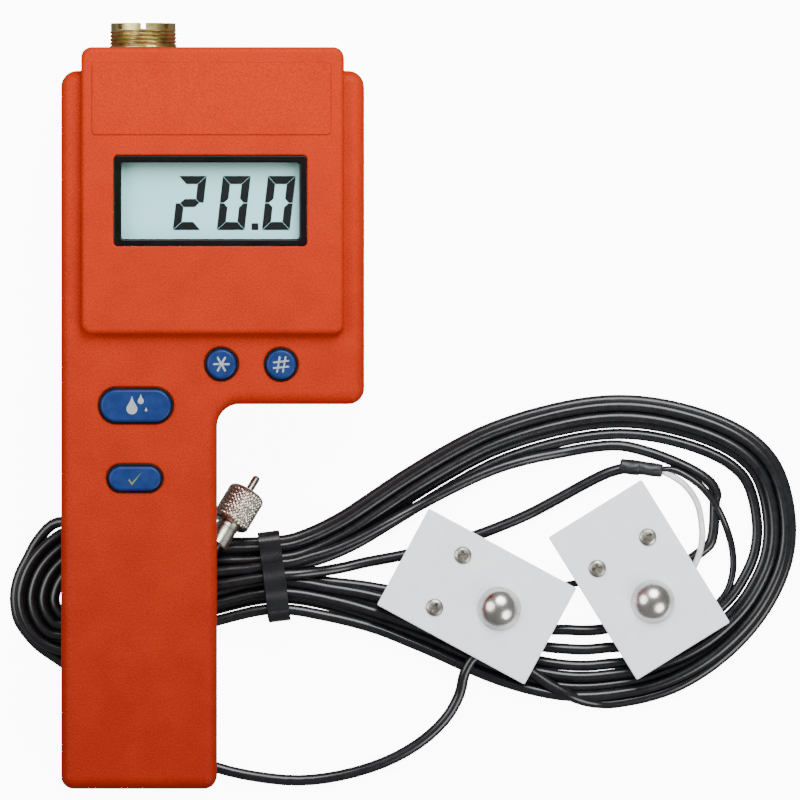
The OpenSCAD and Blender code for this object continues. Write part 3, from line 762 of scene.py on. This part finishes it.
def case_outline(inset=0.0):
    """The case from the front: a wide head over a long handle at its left, joined by a round throat."""
    i, head, handle = inset, max(HEAD_R - inset, 0.2), max(HANDLE_R - inset, 0.2)
    return (arc(HEAD_X - i - head, HEAD_LOW + i + head, head, -90, 0)
            + arc(HEAD_X - i - head, HEAD_TOP - i - head, head, 0, 90)
            + arc(-HEAD_X + i + head, HEAD_TOP - i - head, head, 90, 180)
            + arc(-HEAD_X + i + handle, HANDLE_END + i + handle, handle, 180, 270)
            + arc(HANDLE_RIGHT - i - handle, HANDLE_END + i + handle, handle, -90, 0)
            + arc(HANDLE_RIGHT + THROAT_R, HEAD_LOW - THROAT_R, THROAT_R + i, 180, 90, 12))


def box_outline(x0, y0, x1, y1, r, steps=8):
    """An inset rectangle with round corners, as a function of the inset."""
    return lambda i=0.0: rounded(x0 + i, y0 + i, x1 - i, y1 - i, max(r - i, 0.1), steps)


def key_outline(name):
    """The key's outline, as a function of the inset."""
    x, y, half, r = KEYS[name]
    return lambda i=0.0: stadium(x, y, half, r - i)


block_outline = box_outline(-BLOCK_X, BLOCK_LOW, BLOCK_X, BLOCK_TOP, BLOCK_R)
SOCKET_X, SOCKET_HOLE = -19.7, 8.0
HANDLE_BACK, NOSE_BACK, BACK_EDGE, NOSE_EDGE = 12.0, 4.0, 2.5, 1.2
DOOR_X, DOOR_TOP, DOOR_GAP, DOOR_THICK = (-35.3, -6.3), -34.0, 0.3, 2.6
CASE_SCREWS, SCREW_BORE = ((-34, 85), (34, 85), (34, 10), (-34, 10), (-20.8, -29.5)), 2.8
SEAM, LIP = 0.25, 0.5
# Shells and moving plates are merged to this gap, in metres, and shaded smooth up to this angle
MERGE, SMOOTH_DEGREES = 2e-6, 30


def front_half(outline, top, edge, reach, steps=5):
    """Rings from reach behind the parting line to top, narrowed at the line by its groove."""
    return ([(outline(SEAM), SPLIT - reach), (outline(SEAM), SPLIT + SEAM)]
            + eased(outline, SPLIT + 2 * SEAM, top, edge, steps=steps))


def back_half(outline, low, edge, reach):
    """Rings from low to reach in front of the parting line, narrowed there the same way."""
    return (eased(outline, low, SPLIT - 2 * SEAM, bottom=edge)
            + [(outline(SEAM), SPLIT - SEAM), (outline(SEAM), SPLIT + reach)])


def socket_hole(shell):
    """Opens the case's upper end for the socket."""
    reach = 6
    hole = turned("hole", [(0, -reach), (SOCKET_HOLE, -reach), (SOCKET_HOLE, reach), (0, reach)], 64)
    upright = Matrix.Translation(Vector((SOCKET_X, BLOCK_TOP, SPLIT)) * MM)
    place(hole, upright @ Matrix.Rotation(math.radians(-90), 4, "X"))
    carve(shell, hole)


# ---------------------------------------------------------------- operators: the meter

class METER_OT_front_case(bpy.types.Operator):
    """Front half of the case: the display block stands on it, with a blank name plate above the window"""
    bl_idname = "meter.front_case"
    bl_label = "Front case"

    plate_rise, window_r, reach = 0.35, 1.2, 5

    def hollow(self, shell, outline, front):
        """Hollows the shell a wall's thickness behind its front."""
        carve(shell, stacked("hollow", eased(lambda i: outline(WALL + i), 0, front - WALL)))

    def execute(self, context):
        case, deep = case_settings(), FRONT - self.reach
        shell = stacked("front_case", front_half(case_outline, FRONT, case.edge / MM, 3, steps=7))
        block = stacked("block", front_half(block_outline, BLOCK_FRONT, case.block_edge / MM, 4))
        carve(shell, block, "UNION")
        plate = eased(box_outline(*NAME_PLATE, self.window_r), FRONT, BLOCK_FRONT + self.plate_rise,
                      self.plate_rise, steps=3)
        carve(shell, stacked("plate", plate), "UNION")
        self.hollow(shell, case_outline, FRONT)
        self.hollow(shell, block_outline, BLOCK_FRONT)
        window = box_outline(*WINDOW, self.window_r)
        carve(shell, stacked("window", lipped(window, deep, BLOCK_FRONT, LIP)))
        for name in KEYS:
            outline = key_outline(name)
            carve(shell, stacked("hole", lipped(lambda i: outline(i - KEY_GAP), deep, FRONT, LIP)))
        socket_hole(shell)
        cut_flat(shell, (0, 0, SPLIT * MM), (0, 0, -1))
        tidy_mesh(shell, SMOOTH_DEGREES, MERGE)
        settle(shell, "meter", FINISH["case"], "case_front", "front_shell")
        return {"FINISHED"}


class METER_OT_back_case(bpy.types.Operator):
    """Back half of the case, deep behind the head and shallow behind the handle, and its battery door"""
    bl_idname = "meter.back_case"
    bl_label = "Back case and battery door"

    ribs, rib_step, rib_half, rib_wide = 5, 3, 8, 1.4

    def handle(self):
        """The handle's half as a solid."""
        return stacked("handle", back_half(case_outline, HANDLE_BACK, BACK_EDGE, 3))

    def hollow(self, shell, outline, floor):
        """Hollows the shell inside the outline, from floor to past the parting line."""
        carve(shell, stacked("hollow", [(outline(WALL), floor), (outline(WALL), SPLIT + 9)]))

    def execute(self, context):
        head = box_outline(-HEAD_X, HEAD_LOW, HEAD_X, HEAD_TOP, HEAD_R)
        nose = box_outline(-BLOCK_X, HEAD_TOP - 8, BLOCK_X, BLOCK_TOP, BLOCK_R)
        shell = stacked("back_case", back_half(head, 0, BACK_EDGE, 2))
        carve(shell, self.handle(), "UNION")
        carve(shell, stacked("nose", back_half(nose, NOSE_BACK, NOSE_EDGE, 4)), "UNION")
        self.hollow(shell, head, WALL)
        self.hollow(shell, case_outline, HANDLE_BACK + WALL)
        self.hollow(shell, nose, NOSE_BACK + WALL)
        x0, x1 = DOOR_X
        opening = rounded(x0 - DOOR_GAP, HANDLE_END - 5, x1 + DOOR_GAP, DOOR_TOP + DOOR_GAP, 0.8)
        carve(shell, stacked("opening", [(opening, HANDLE_BACK - 1), (opening, HANDLE_BACK + WALL + 1)]))
        for x, y in CASE_SCREWS:
            deep = HANDLE_BACK + 3 if y < 0 else 12
            bore = stadium(x, y, 0, SCREW_BORE, 12)
            carve(shell, stacked("counterbore", [(bore, -1), (bore, deep)]))
        socket_hole(shell)
        cut_flat(shell, (0, 0, SPLIT * MM), (0, 0, 1))
        tidy_mesh(shell, SMOOTH_DEGREES, MERGE)
        settle(shell, "meter", FINISH["back"], "case_rear", "rear_shell")

        plate = box_outline(x0, HANDLE_END, x1, DOOR_TOP, 0.6)
        tongue = rounded(x0 - 1.2, HANDLE_END, x1 + 1.2, DOOR_TOP - 0.5, 0.3)
        door = stacked("battery_door_plate",
                       eased(plate, HANDLE_BACK, HANDLE_BACK + DOOR_THICK, bottom=0.4, steps=3))
        tongue_rings = [(tongue, HANDLE_BACK + 1.8), (tongue, HANDLE_BACK + 3.0)]
        carve(door, stacked("tongue", tongue_rings), "UNION")
        middle = sum(DOOR_X) / 2
        for rib in range(self.ribs):
            y = HANDLE_END + 9 + self.rib_step * rib
            groove = box_outline(middle - self.rib_half, y, middle + self.rib_half, y + self.rib_wide, 0.6, 4)
            carve(door, stacked("groove", [(groove(-0.3), HANDLE_BACK - 1), (groove(-0.3), HANDLE_BACK),
                                           (groove(0.15), HANDLE_BACK + 0.6)]))
        carve(door, self.handle(), "INTERSECT")
        tidy_mesh(door, SMOOTH_DEGREES, MERGE)
        settle(door, "battery_door", FINISH["back"], "case_rear", "battery_door")
        return {"FINISHED"}


class METER_OT_display(bpy.types.Operator):
    """Black window frame, clear window and a liquid crystal that reads 20.0"""
    bl_idname = "meter.display"
    bl_label = "Display"

    slant, digit_w, digit_h, bar, gap = math.radians(6.5), 7.8, 15.2, 2.25, 0.1
    digit_low = 49.5
    digits = ((-11.2, "abged"), (1.2, "abcdef"), (13.9, "abcdef"))
    point_x, point_w = 11.0, 1.9
    frame_side, frame_end = 2.1, 2.0

    def crystal(self, name, outline, face):
        """A dark patch of liquid crystal on the panel's face."""
        sunk, proud = 0.02, 0.12
        return stacked(name, [(outline, face - sunk), (outline, face + proud)])

    def bars(self):
        """Outlines of the seven bars of an upright digit, in millimetres, by their usual letters."""
        w, h, t, g = self.digit_w, self.digit_h, self.bar, self.gap
        m = h / 2

        def flipped(outline, across=False, up=False):
            return [(w - x if across else x, h - y if up else y) for x, y in outline]

        top = [(g, h), (t + g, h - t), (w - t - g, h - t), (w - g, h)]
        upper_left = [(0, h - g), (0, m + g), (t / 2, m + g), (t, m + t / 2 + g), (t, h - t - g)]
        middle = [(t / 2 + g, m), (t + g, m - t / 2), (w - t - g, m - t / 2), (w - t / 2 - g, m),
                  (w - t - g, m + t / 2), (t + g, m + t / 2)]
        return {"a": top, "d": flipped(top, up=True), "f": upper_left, "e": flipped(upper_left, up=True),
                "b": flipped(upper_left, across=True), "c": flipped(upper_left, True, True), "g": middle}

    def execute(self, context):
        low, high = (corner / MM for corner in box_of("lcd_bezel"))
        outer = box_outline(low.x, low.y, high.x, high.y, 1.0)
        frame_piece = stacked("window_frame", eased(outer, low.z, high.z, 0.35, steps=3))
        opening = box_outline(low.x + self.frame_side, low.y + self.frame_end,
                              high.x - self.frame_side, high.y - self.frame_end, 0.8)
        carve(frame_piece, stacked("opening", lipped(opening, low.z - 1, high.z, LIP)))
        tidy_mesh(frame_piece, SMOOTH_DEGREES, MERGE)
        settle(frame_piece, "meter", FINISH["bezel"], "bezel", "lcd_bezel")

        panel_top = box_of("lcd_panel")[1].z / MM
        shapes = self.bars()
        pieces = []
        for left, lit in self.digits:
            for letter in lit:
                outline = [(left + x + y * math.tan(self.slant), self.digit_low + y)
                           for x, y in shapes[letter]]
                pieces.append(self.crystal("bar", outline, panel_top))
        point = rounded(self.point_x, self.digit_low, self.point_x + self.point_w,
                        self.digit_low + self.point_w, 0.1, 2)
        pieces.append(self.crystal("point", point, panel_top))
        settle(joined("reading", pieces), "meter", FINISH["segment"], "lcd")
        return {"FINISHED"}


class METER_OT_keys(bpy.types.Operator):
    """Four blue keys with printed marks, each in a black seal that is partly a real seal and partly painted
    shade for the dark gap round the key
    """
    bl_idname = "meter.keys"
    bl_label = "Keys"

    flange, flange_low, flange_top, cap_edge = 1.1, 33.8, 35.1, 0.75
    seal_gap, seal_inside, seal_sunk = 0.03, 0.1, 0.15
    ink_high, ink_low, ink_step = 0.07, 0.04, 0.004

    def printed(self, name, shapes):
        """The mark in the ink's thickness, one prism for each outline, merged where they cross."""
        x, y = KEYS[name][:2]
        mark = None
        for number, outline in enumerate(shapes):
            there = [(x + px, y + py) for px, py in outline]
            top = KEY_TOP + self.ink_high + number * self.ink_step
            prism = stacked(name + "_mark", [(there, KEY_TOP - self.ink_low), (there, top)])
            if mark:
                carve(mark, prism, "UNION")
            else:
                mark = prism
        return mark

    def bar(self, cx, cy, length, width, degrees):
        """A straight stroke with round ends, turned about its middle."""
        c, s = math.cos(math.radians(degrees)), math.sin(math.radians(degrees))
        return [(cx + c * x - s * y, cy + s * x + c * y)
                for x, y in stadium(0, 0, (length - width) / 2, width / 2, 6)]

    def drop(self, cx, cy, r, tall):
        """A falling drop: a round belly drawn out to a point."""
        belly_top = r * 0.42

        def flank(side, t):
            return cx + side * 0.9 * r * (1 - t) ** 1.4, cy + belly_top + (tall - belly_top) * t

        return (arc(cx, cy, r, -205, 25, 16) + [flank(1, t) for t in (0.3, 0.6)] + [(cx, cy + tall)]
                + [flank(-1, t) for t in (0.6, 0.3)])

    def execute(self, context):
        for name in KEYS:
            outline = key_outline(name)
            rings = [(outline(-self.flange), self.flange_low), (outline(-self.flange), self.flange_top)]
            rings += eased(outline, self.flange_top, KEY_TOP, self.cap_edge, steps=6)
            cap = stacked(name + "_cap", rings)
            settle(cap, name, FINISH["key"], "key", name)
        marks = {
            "star_key": ("mark", [self.bar(0, 0, 4.7, 0.56, angle) for angle in (0, 60, 120)]),
            "hash_key": ("mark", [self.bar(*stroke) for stroke in
                                  ((-0.75, 0, 4.7, 0.5, 80), (0.9, 0, 4.7, 0.5, 80),
                                   (0, 0.8, 4.6, 0.48, 6), (0, -0.8, 4.6, 0.48, 6))]),
            "drop_key": ("mark", [self.drop(-1.1, -0.9, 1.55, 3.7), self.drop(1.4, 1.3, 0.85, 2.0),
                                  self.drop(2.9, -1.3, 0.36, 0.9)]),
            "tick_key": ("tick", [[(-1.8, -0.5), (-1.5, -0.1), (-0.85, -1.2), (2.0, 1.8), (-0.75, -1.95)]]),
        }
        for name, (finish, shapes) in marks.items():
            settle(self.printed(name, shapes), name, FINISH[finish], "key")

        # The black rings fill each key's gap up to just below the face: partly a real seal, partly painted
        # shade standing in for the shadow down in the gap.
        low = box_of("key_seals")[0] / MM
        seals = []
        for name in KEYS:
            outline = key_outline(name)
            seal = stacked("seal", eased(lambda i: outline(i - KEY_GAP + self.seal_gap), low.z,
                                         FRONT - self.seal_sunk, 0.2, steps=3))
            inner = outline(-self.seal_inside)
            carve(seal, stacked("seal_hole", [(inner, low.z - 1), (inner, FRONT + 1)]))
            seals.append(seal)
        settle(joined("key_seal_rings_gap_shade", seals), "meter", FINISH["seal"], "seal", "key_seals")
        return {"FINISHED"}


def reshape(obj, move):
    """Moves each vertex of the piece, in millimetres, by move(point)."""
    for vertex in obj.data.vertices:
        vertex.co = move(vertex.co / MM) * MM
    obj.data.update()
    return obj


def grooved(fall, height):
    """A triangular groove: 0 at a crest and 1 at a root, as height rises by fall."""
    return abs(2 * ((height / fall) % 1.0) - 1)


class METER_OT_socket(bpy.types.Operator):
    """Brass coaxial socket: a threaded barrel with a notched rim"""
    bl_idname = "meter.socket"
    bl_label = "Socket"

    pitch, thread_deep, crown, crown_deep = 25.4 / 24, 0.5, 2.1, 0.3
    notch, notch_deep, notch_turns = 1.5, 1.7, (0, 45, 90, 135)
    bore, seat_top, barrel_step, chamfer, plain_end = 6.3, 101.2, 0.4, 0.35, 0.2

    def execute(self, context):
        low, high = (corner / MM for corner in box_of("socket_body"))
        centre, radius = (low + high) / 2, (high.x - low.x) / 2
        rim, steps = high.y - self.seat_top, 8
        rows = int(rim / self.pitch * steps)
        wall = [(radius, rim * k / rows) for k in range(rows + 1)]
        inner, foot = radius - self.barrel_step, low.y - self.seat_top
        profile = ([(self.bore, foot), (inner, foot), (inner, 0)] + wall
                   + [(radius - 0.45, rim), (self.bore + self.chamfer, rim), (self.bore, rim - self.chamfer)])
        barrel = turned("socket_barrel", profile, 96, hollow=True)

        def threaded(p):
            r = math.hypot(p.x, p.y)
            if r < radius - 0.1 or p.z <= self.plain_end:
                return p
            turn = math.atan2(p.y, p.x) / math.tau
            deep = self.thread_deep * grooved(self.pitch, p.z - turn * self.pitch)
            if p.z > rim - self.crown:
                deep = self.crown_deep
            keep = (r - deep) / r
            return Vector((p.x * keep, p.y * keep, p.z))

        reshape(barrel, threaded)
        half, across = self.notch / 2, 12
        slot = [(-across, -half), (across, -half), (across, half), (-across, half)]
        for angle in self.notch_turns:
            tool = stacked("notch", [(slot, rim - self.notch_deep), (slot, rim + 1)])
            carve(barrel, moved(tool, 0, 0, 0, math.radians(angle)))
        upright = Matrix.Translation(Vector((centre.x, self.seat_top, centre.z)) * MM)
        place(barrel, upright @ Matrix.Rotation(math.radians(-90), 4, "X"))
        tidy_mesh(barrel, 25, 2e-6)
        settle(barrel, "meter", FINISH["brass"], "brass", "socket_body")
        return {"FINISHED"}


def along_plug(obj):
    """Puts a piece turned about +Z on the plug's axis."""
    turn = Vector((0, 0, 1)).rotation_difference(PLUG_AXIS).to_matrix().to_4x4()
    place(obj, Matrix.Translation(PLUG_MM * MM) @ turn)
    return obj


class METER_OT_plug(bpy.types.Operator):
    """Plug on the cable's end: knurled ring, smooth sleeve, and a split pin in its white insulator"""
    bl_idname = "meter.plug"
    bl_label = "Plug"

    ring_r, ring_half, ring_inside, teeth, knurl_deep = 5.5, 5.4, 3.3, 30, 0.3
    # Rows of radius and distance along the plug, from the cable's end
    sleeve = ((1.6, -12.6), (2.7, -12.6), (3.1, -12.2), (3.1, -7.4), (2.95, -7.2), (2.95, -6.9), (3.1, -6.7),
              (3.1, 3.0), (2.45, 3.0), (2.45, -1.0), (1.6, -1.0))
    pin = ((0, -1.0), (1.1, -1.0), (1.1, 9.9), (0.95, 10.4), (0.6, 10.7), (0, 10.7))

    def execute(self, context):
        r, half, inside = self.ring_r, self.ring_half, self.ring_inside
        rows, plain = 44, 0.9
        outer = [(r - 0.02, -half + plain + 2 * (half - plain) * k / rows) for k in range(rows + 1)]
        profile = ([(inside, -half), (r - 1.0, -half), (r - 0.45, -half + 0.3)] + outer
                   + [(r - 0.45, half - 0.3), (r - 1.0, half), (4.6, half), (4.5, half - 3.4),
                      (inside, half - 3.6)])
        ring = turned("plug_coupling_ring", profile, self.teeth * 5, hollow=True)
        lead_of_knurl = math.tau * r / self.teeth

        def knurled(p):
            across = math.hypot(p.x, p.y)
            if across < r - 0.1 or abs(p.z) > half - 0.8:
                return p
            turn = math.atan2(p.y, p.x) / math.tau * self.teeth * lead_of_knurl
            deep = max(grooved(lead_of_knurl, turn + p.z), grooved(lead_of_knurl, turn - p.z))
            keep = (across - self.knurl_deep * deep ** 2) / across
            return Vector((p.x * keep, p.y * keep, p.z))

        reshape(ring, knurled)
        tidy_mesh(along_plug(ring), 32)
        settle(ring, "plug_ring", FINISH["nickel"], "steel", "plug_ring")

        sleeve = turned("plug_sleeve", self.sleeve, 48, hollow=True)
        settle(along_plug(sleeve), "meter", FINISH["nickel"], "steel", "plug_body")
        pin = turned("plug_split_pin", self.pin, 32)
        slit = [(-0.16, -2), (0.16, -2), (0.16, 2), (-0.16, 2)]
        carve(pin, stacked("slit", [(slit, 5.2), (slit, 11.5)]))
        tidy_mesh(pin, 30)
        settle(along_plug(pin), "meter", FINISH["nickel"], "steel", "plug_pin")
        return {"FINISHED"}


PADS = {"left_pad": (74.5, -54.0, math.radians(-28.4)), "right_pad": (120.5, -49.3, math.radians(-58.2))}
DOME_AT, SCREWS_AT = (7.2, 0.0), ((-9.0, -8.4), (-9.0, 8.4))


def on_pads(make, spots):
    """Copies of make() stood at each spot on both pads, at the pad's top."""
    pieces = []
    for name, (x, y, turn) in PADS.items():
        top = box_of(name)[1].z / MM
        for u, v in spots:
            spot = Matrix.Rotation(turn, 3, "Z") @ Vector((u, v, 0))
            pieces.append(moved(make(), x + spot.x, y + spot.y, top, turn + len(pieces) * 0.6))
    return pieces


class METER_OT_strap(bpy.types.Operator):
    """Flat strap round the bundle, its tail lapped over and pressed down"""
    bl_idname = "meter.strap"
    bl_label = "Strap"

    centre, turn, width = (17.0, -48.0), math.radians(7), 6.2
    long, high, corner, thick = 25.0, 10.2, 3.0, 0.8

    def band(self, name, start, end, out, x0, x1):
        """A strip along the strap's loop from start to end, parts of its way round, out from its middle."""
        loop = [Vector(p) for p in rounded(-self.long / 2, 0, self.long / 2, self.high, self.corner)]
        steps = [0.0]
        for a, b in zip(loop, loop[1:] + loop[:1]):
            steps.append(steps[-1] + (b - a).length)
        rows = 120
        ring = []
        for k in range(rows + 1):
            reach = (start + (end - start) * k / rows) % 1.0 * steps[-1]
            i = max(j for j in range(len(loop)) if steps[j] <= reach + 1e-9)
            a, b = loop[i], loop[(i + 1) % len(loop)]
            p = a + (b - a) * ((reach - steps[i]) / max(steps[i + 1] - steps[i], 1e-9))
            normal = Vector(((b - a).y, -(b - a).x)).normalized()
            sag = 0.12 * math.sin(p.x * 1.1) if p.y > self.high - 0.1 else 0.0
            ring.append((p, normal, sag))
        edge = 0.14
        section = [(x0, -self.thick + edge), (x0 + edge, -self.thick), (x1 - edge, -self.thick),
                   (x1, -self.thick + edge), (x1, -edge), (x1 - edge, 0), (x0 + edge, 0), (x0, -edge)]
        points, faces = [], []
        for p, normal, sag in ring:
            for across, depth in section:
                q = p + normal * (depth + out)
                points.append(Vector((across, q.x, q.y - sag)) * MM)
        count, closed = len(section), abs(end - start) >= 0.999
        for k in range(rows):
            for j in range(count):
                a, b = k * count + j, k * count + (j + 1) % count
                c, d = (k + 1) * count + (j + 1) % count, (k + 1) * count + j
                faces.append((a, b, c, d))
        if not closed:
            faces += [tuple(range(count)), tuple(range(rows * count, (rows + 1) * count))]
        obj = new_piece(name, points, faces=faces)
        tidy_mesh(obj, 40, 5e-6)
        return obj

    def execute(self, context):
        half = self.width / 2
        loop = self.band("strap_loop", 0.0, 1.0, 0.0, -half, half)
        tail = self.band("strap_tail", 0.30, 0.66, self.thick * 0.9, -half + 0.15, half + 0.2)
        strap = joined("cable_strap_band", [loop, tail])
        moved(strap, *self.centre, 0, self.turn)
        settle(strap, "meter", FINISH["strap"], "strap", "cable_strap")
        return {"FINISHED"}


class METER_OT_splice(bpy.types.Operator):
    """Two lengths of heat-shrink where the cable parts into its two wires, wrinkled where they overlap"""
    bl_idname = "meter.splice"
    bl_label = "Splice"

    # Each length of tube: its middle, its turn in degrees, its radius and its length
    sleeves = (((118.0, -17.4, 2.3), -6, 2.2, 5.2), ((123.3, -17.95, 2.35), -8, 2.0, 7.2))
    rows, bore, wrinkle = 30, 1.0, 0.07

    def execute(self, context):
        pieces = []
        for (x, y, z), degrees, r, length in self.sleeves:
            wall = [(r, length * (k / self.rows - 0.5)) for k in range(1, self.rows)]
            near, far = -length / 2, length / 2
            profile = ([(self.bore, near - 0.35), (r - 0.5, near - 0.35), (r - 0.12, near)] + wall
                       + [(r - 0.12, far), (r - 0.5, far + 0.3), (self.bore, far + 0.3)])
            sleeve = turned("shrink", profile, 40, hollow=True)

            def wrinkled(p):
                across = math.hypot(p.x, p.y)
                if across < r - 0.2:
                    return p
                angle = math.atan2(p.y, p.x)
                wave = (self.wrinkle * math.sin(p.z * 1.3 + math.sin(2 * angle))
                        + 0.04 * math.sin(2 * angle + p.z))
                return Vector((p.x * (1 + wave / r), p.y * (1 + wave / r) * 0.97, p.z))

            reshape(sleeve, wrinkled)
            lie = Matrix.Rotation(math.radians(degrees), 4, "Z") @ Matrix.Rotation(math.radians(90), 4, "Y")
            place(sleeve, Matrix.Translation(Vector((x, y, z)) * MM) @ lie)
            pieces.append(sleeve)
        splice = joined("splice_heat_shrink", pieces)
        settle(splice, "meter", FINISH["shrink"], "cable", "splice_sleeve")
        return {"FINISHED"}


class METER_OT_contact_pads(bpy.types.Operator):
    """Two white plates, each with a polished dome and two cross-head screws"""
    bl_idname = "meter.contact_pads"
    bl_label = "Contact pads"

    pad_size, pad_edge = (47.5, 31.0), 0.35
    dome_r, dome_high, dome_step = 6.35, 4.75, 0.25
    head_r, head_high = 2.45, 0.8
    # Rows of the screw head's crown, as parts of its radius against height
    crown = ((1, 0), (1, 0.25), (0.96, 0.42), (0.82, 0.62), (0.6, 0.74), (0.3, 0.8), (0, 0.8))
    recess, recess_wide, recess_deep = 1.7, 0.42, 0.08

    def pad(self, name):
        x, y, turn = PADS[name]
        low, high = (corner / MM for corner in box_of(name))
        across, tall = (size / 2 for size in self.pad_size)
        outline = box_outline(-across, -tall, across, tall, 0.5, 3)
        plate = stacked(name + "_plate", eased(outline, low.z, high.z, self.pad_edge, self.pad_edge, 3))
        return moved(plate, x, y, 0, turn)

    def dome(self):
        """A turned stud: a shallow washer step, then the ball that touches the floor."""
        r, step, sunk = self.dome_r, self.dome_step, self.dome_r - self.dome_high
        angles = [math.radians(a) for a in range(0, 91, 5)]
        ball = [(r * math.cos(a), r * math.sin(a) - sunk) for a in angles if r * math.sin(a) - sunk > step]
        foot = math.sqrt(r ** 2 - (sunk + step) ** 2)
        return turned("dome", [(0, -0.02), (foot, -0.02), (foot + 0.1, 0.12), (foot, step)] + ball, 72)

    def screw(self):
        """Pan head with a cross recess."""
        r, long, wide = self.head_r, self.recess, self.recess_wide
        crown = [(r * part, high) for part, high in self.crown]
        head = turned("screw_head", [(0, -0.02), (r, -0.02)] + crown, 48)
        top = [(-long, -wide), (long, -wide), (long, wide), (-long, wide)]
        low = [(x * 0.4, y * 0.6) for x, y in top]
        for degrees in (0.5, 90.5):
            tool = stacked("recess", [(low, self.recess_deep), (top, self.head_high + 0.1)])
            carve(head, moved(tool, 0, 0, 0, math.radians(degrees)))
        tidy_mesh(head, 30)
        return head

    def execute(self, context):
        for name in PADS:
            settle(self.pad(name), "meter", FINISH["pad"], "pad", name)
        domes = joined("contact_domes_polished", on_pads(self.dome, [DOME_AT]))
        settle(domes, "meter", FINISH["steel"], "steel", "contact_domes")
        screws = joined("pad_screws_cross_head", on_pads(self.screw, SCREWS_AT))
        settle(screws, "meter", FINISH["screw"], "steel", "pad_screws")
        return {"FINISHED"}


class METER_OT_lead_wires(bpy.types.Operator):
    """The two thin wires from the splice, one black and one white, each to its own pad"""
    bl_idname = "meter.lead_wires"
    bl_label = "Lead wires"

    def execute(self, context):
        for pad, route, diameter, finish, slot, node in (
                ("left_pad", BLACK_ROUTE, 2.0 * MM, "cable", "cable", "wire_black"),
                ("right_pad", WHITE_ROUTE, 1.8 * MM, "white_wire", "wire_white", "wire_white")):
            points = smooth_route([SPLICE_END_MM] + route, 8)
            wire, length = cord_curve("wire_to_" + pad, points, diameter)
            settle(wire, "meter", FINISH[finish], slot, node)
        return {"FINISHED"}


# The CAD nodes whose own shape is right, and the finish of each
CARRIED_OVER = {
    "case_screws": "screw", "lcd_lens": "lens", "lcd_panel": "lcd", "lcd_strips": "seal",
    "circuit_board": "board", "board_parts": "chip", "key_switches": "chip", "socket_insulator": "ptfe",
    "socket_contact": "gold", "socket_wire": "red_wire", "battery": "battery", "battery_snap": "seal",
    "battery_wires": "red_wire", "plug_insulator": "ptfe", "dome_nuts": "screw", "terminal_plates": "nickel",
}


class METER_OT_carried_over(bpy.types.Operator):
    """Real finishes on the parts of the frame that keep their own shape"""
    bl_idname = "meter.carried_over"
    bl_label = "Carried-over parts"

    def execute(self, context):
        for node, finish in CARRIED_OVER.items():
            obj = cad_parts[node]
            obj.data.materials.clear()
            obj.data.materials.append(FINISH[finish])
        return {"FINISHED"}


# ---------------------------------------------------------------- add-on

CLASSES = (
    MeterCaseSettings, MeterLeadSettings,
    METER_OT_stage, METER_OT_lead_cable, METER_OT_front_case, METER_OT_back_case, METER_OT_display,
    METER_OT_keys, METER_OT_socket, METER_OT_plug, METER_OT_strap, METER_OT_splice, METER_OT_contact_pads,
    METER_OT_lead_wires, METER_OT_carried_over,
)


class METER_PT_panel(bpy.types.Panel):
    """Lists the operators that build the meter"""
    bl_label = "Moisture meter"
    bl_idname = "METER_PT_panel"
    bl_space_type = "VIEW_3D"
    bl_region_type = "UI"
    bl_category = "Meter"

    def draw(self, context):
        for settings in (case_settings(), lead_settings()):
            for name in settings.bl_rna.properties.keys():
                if name not in ("name", "rna_type"):
                    self.layout.prop(settings, name)
        for kind in CLASSES[2:]:
            self.layout.operator(kind.bl_idname)


def register():
    for kind in (*CLASSES, METER_PT_panel):
        bpy.utils.register_class(kind)
    bpy.types.Scene.meter_case = bpy.props.PointerProperty(type=MeterCaseSettings)
    bpy.types.Scene.meter_lead = bpy.props.PointerProperty(type=MeterLeadSettings)


def unregister():
    del bpy.types.Scene.meter_lead
    del bpy.types.Scene.meter_case
    for kind in reversed((*CLASSES, METER_PT_panel)):
        bpy.utils.unregister_class(kind)


def main():
    register()
    make_finishes()
    for kind in CLASSES[2:]:
        group, name = kind.bl_idname.split(".")
        getattr(getattr(bpy.ops, group), name)()


if __name__ == "__main__":
    main()
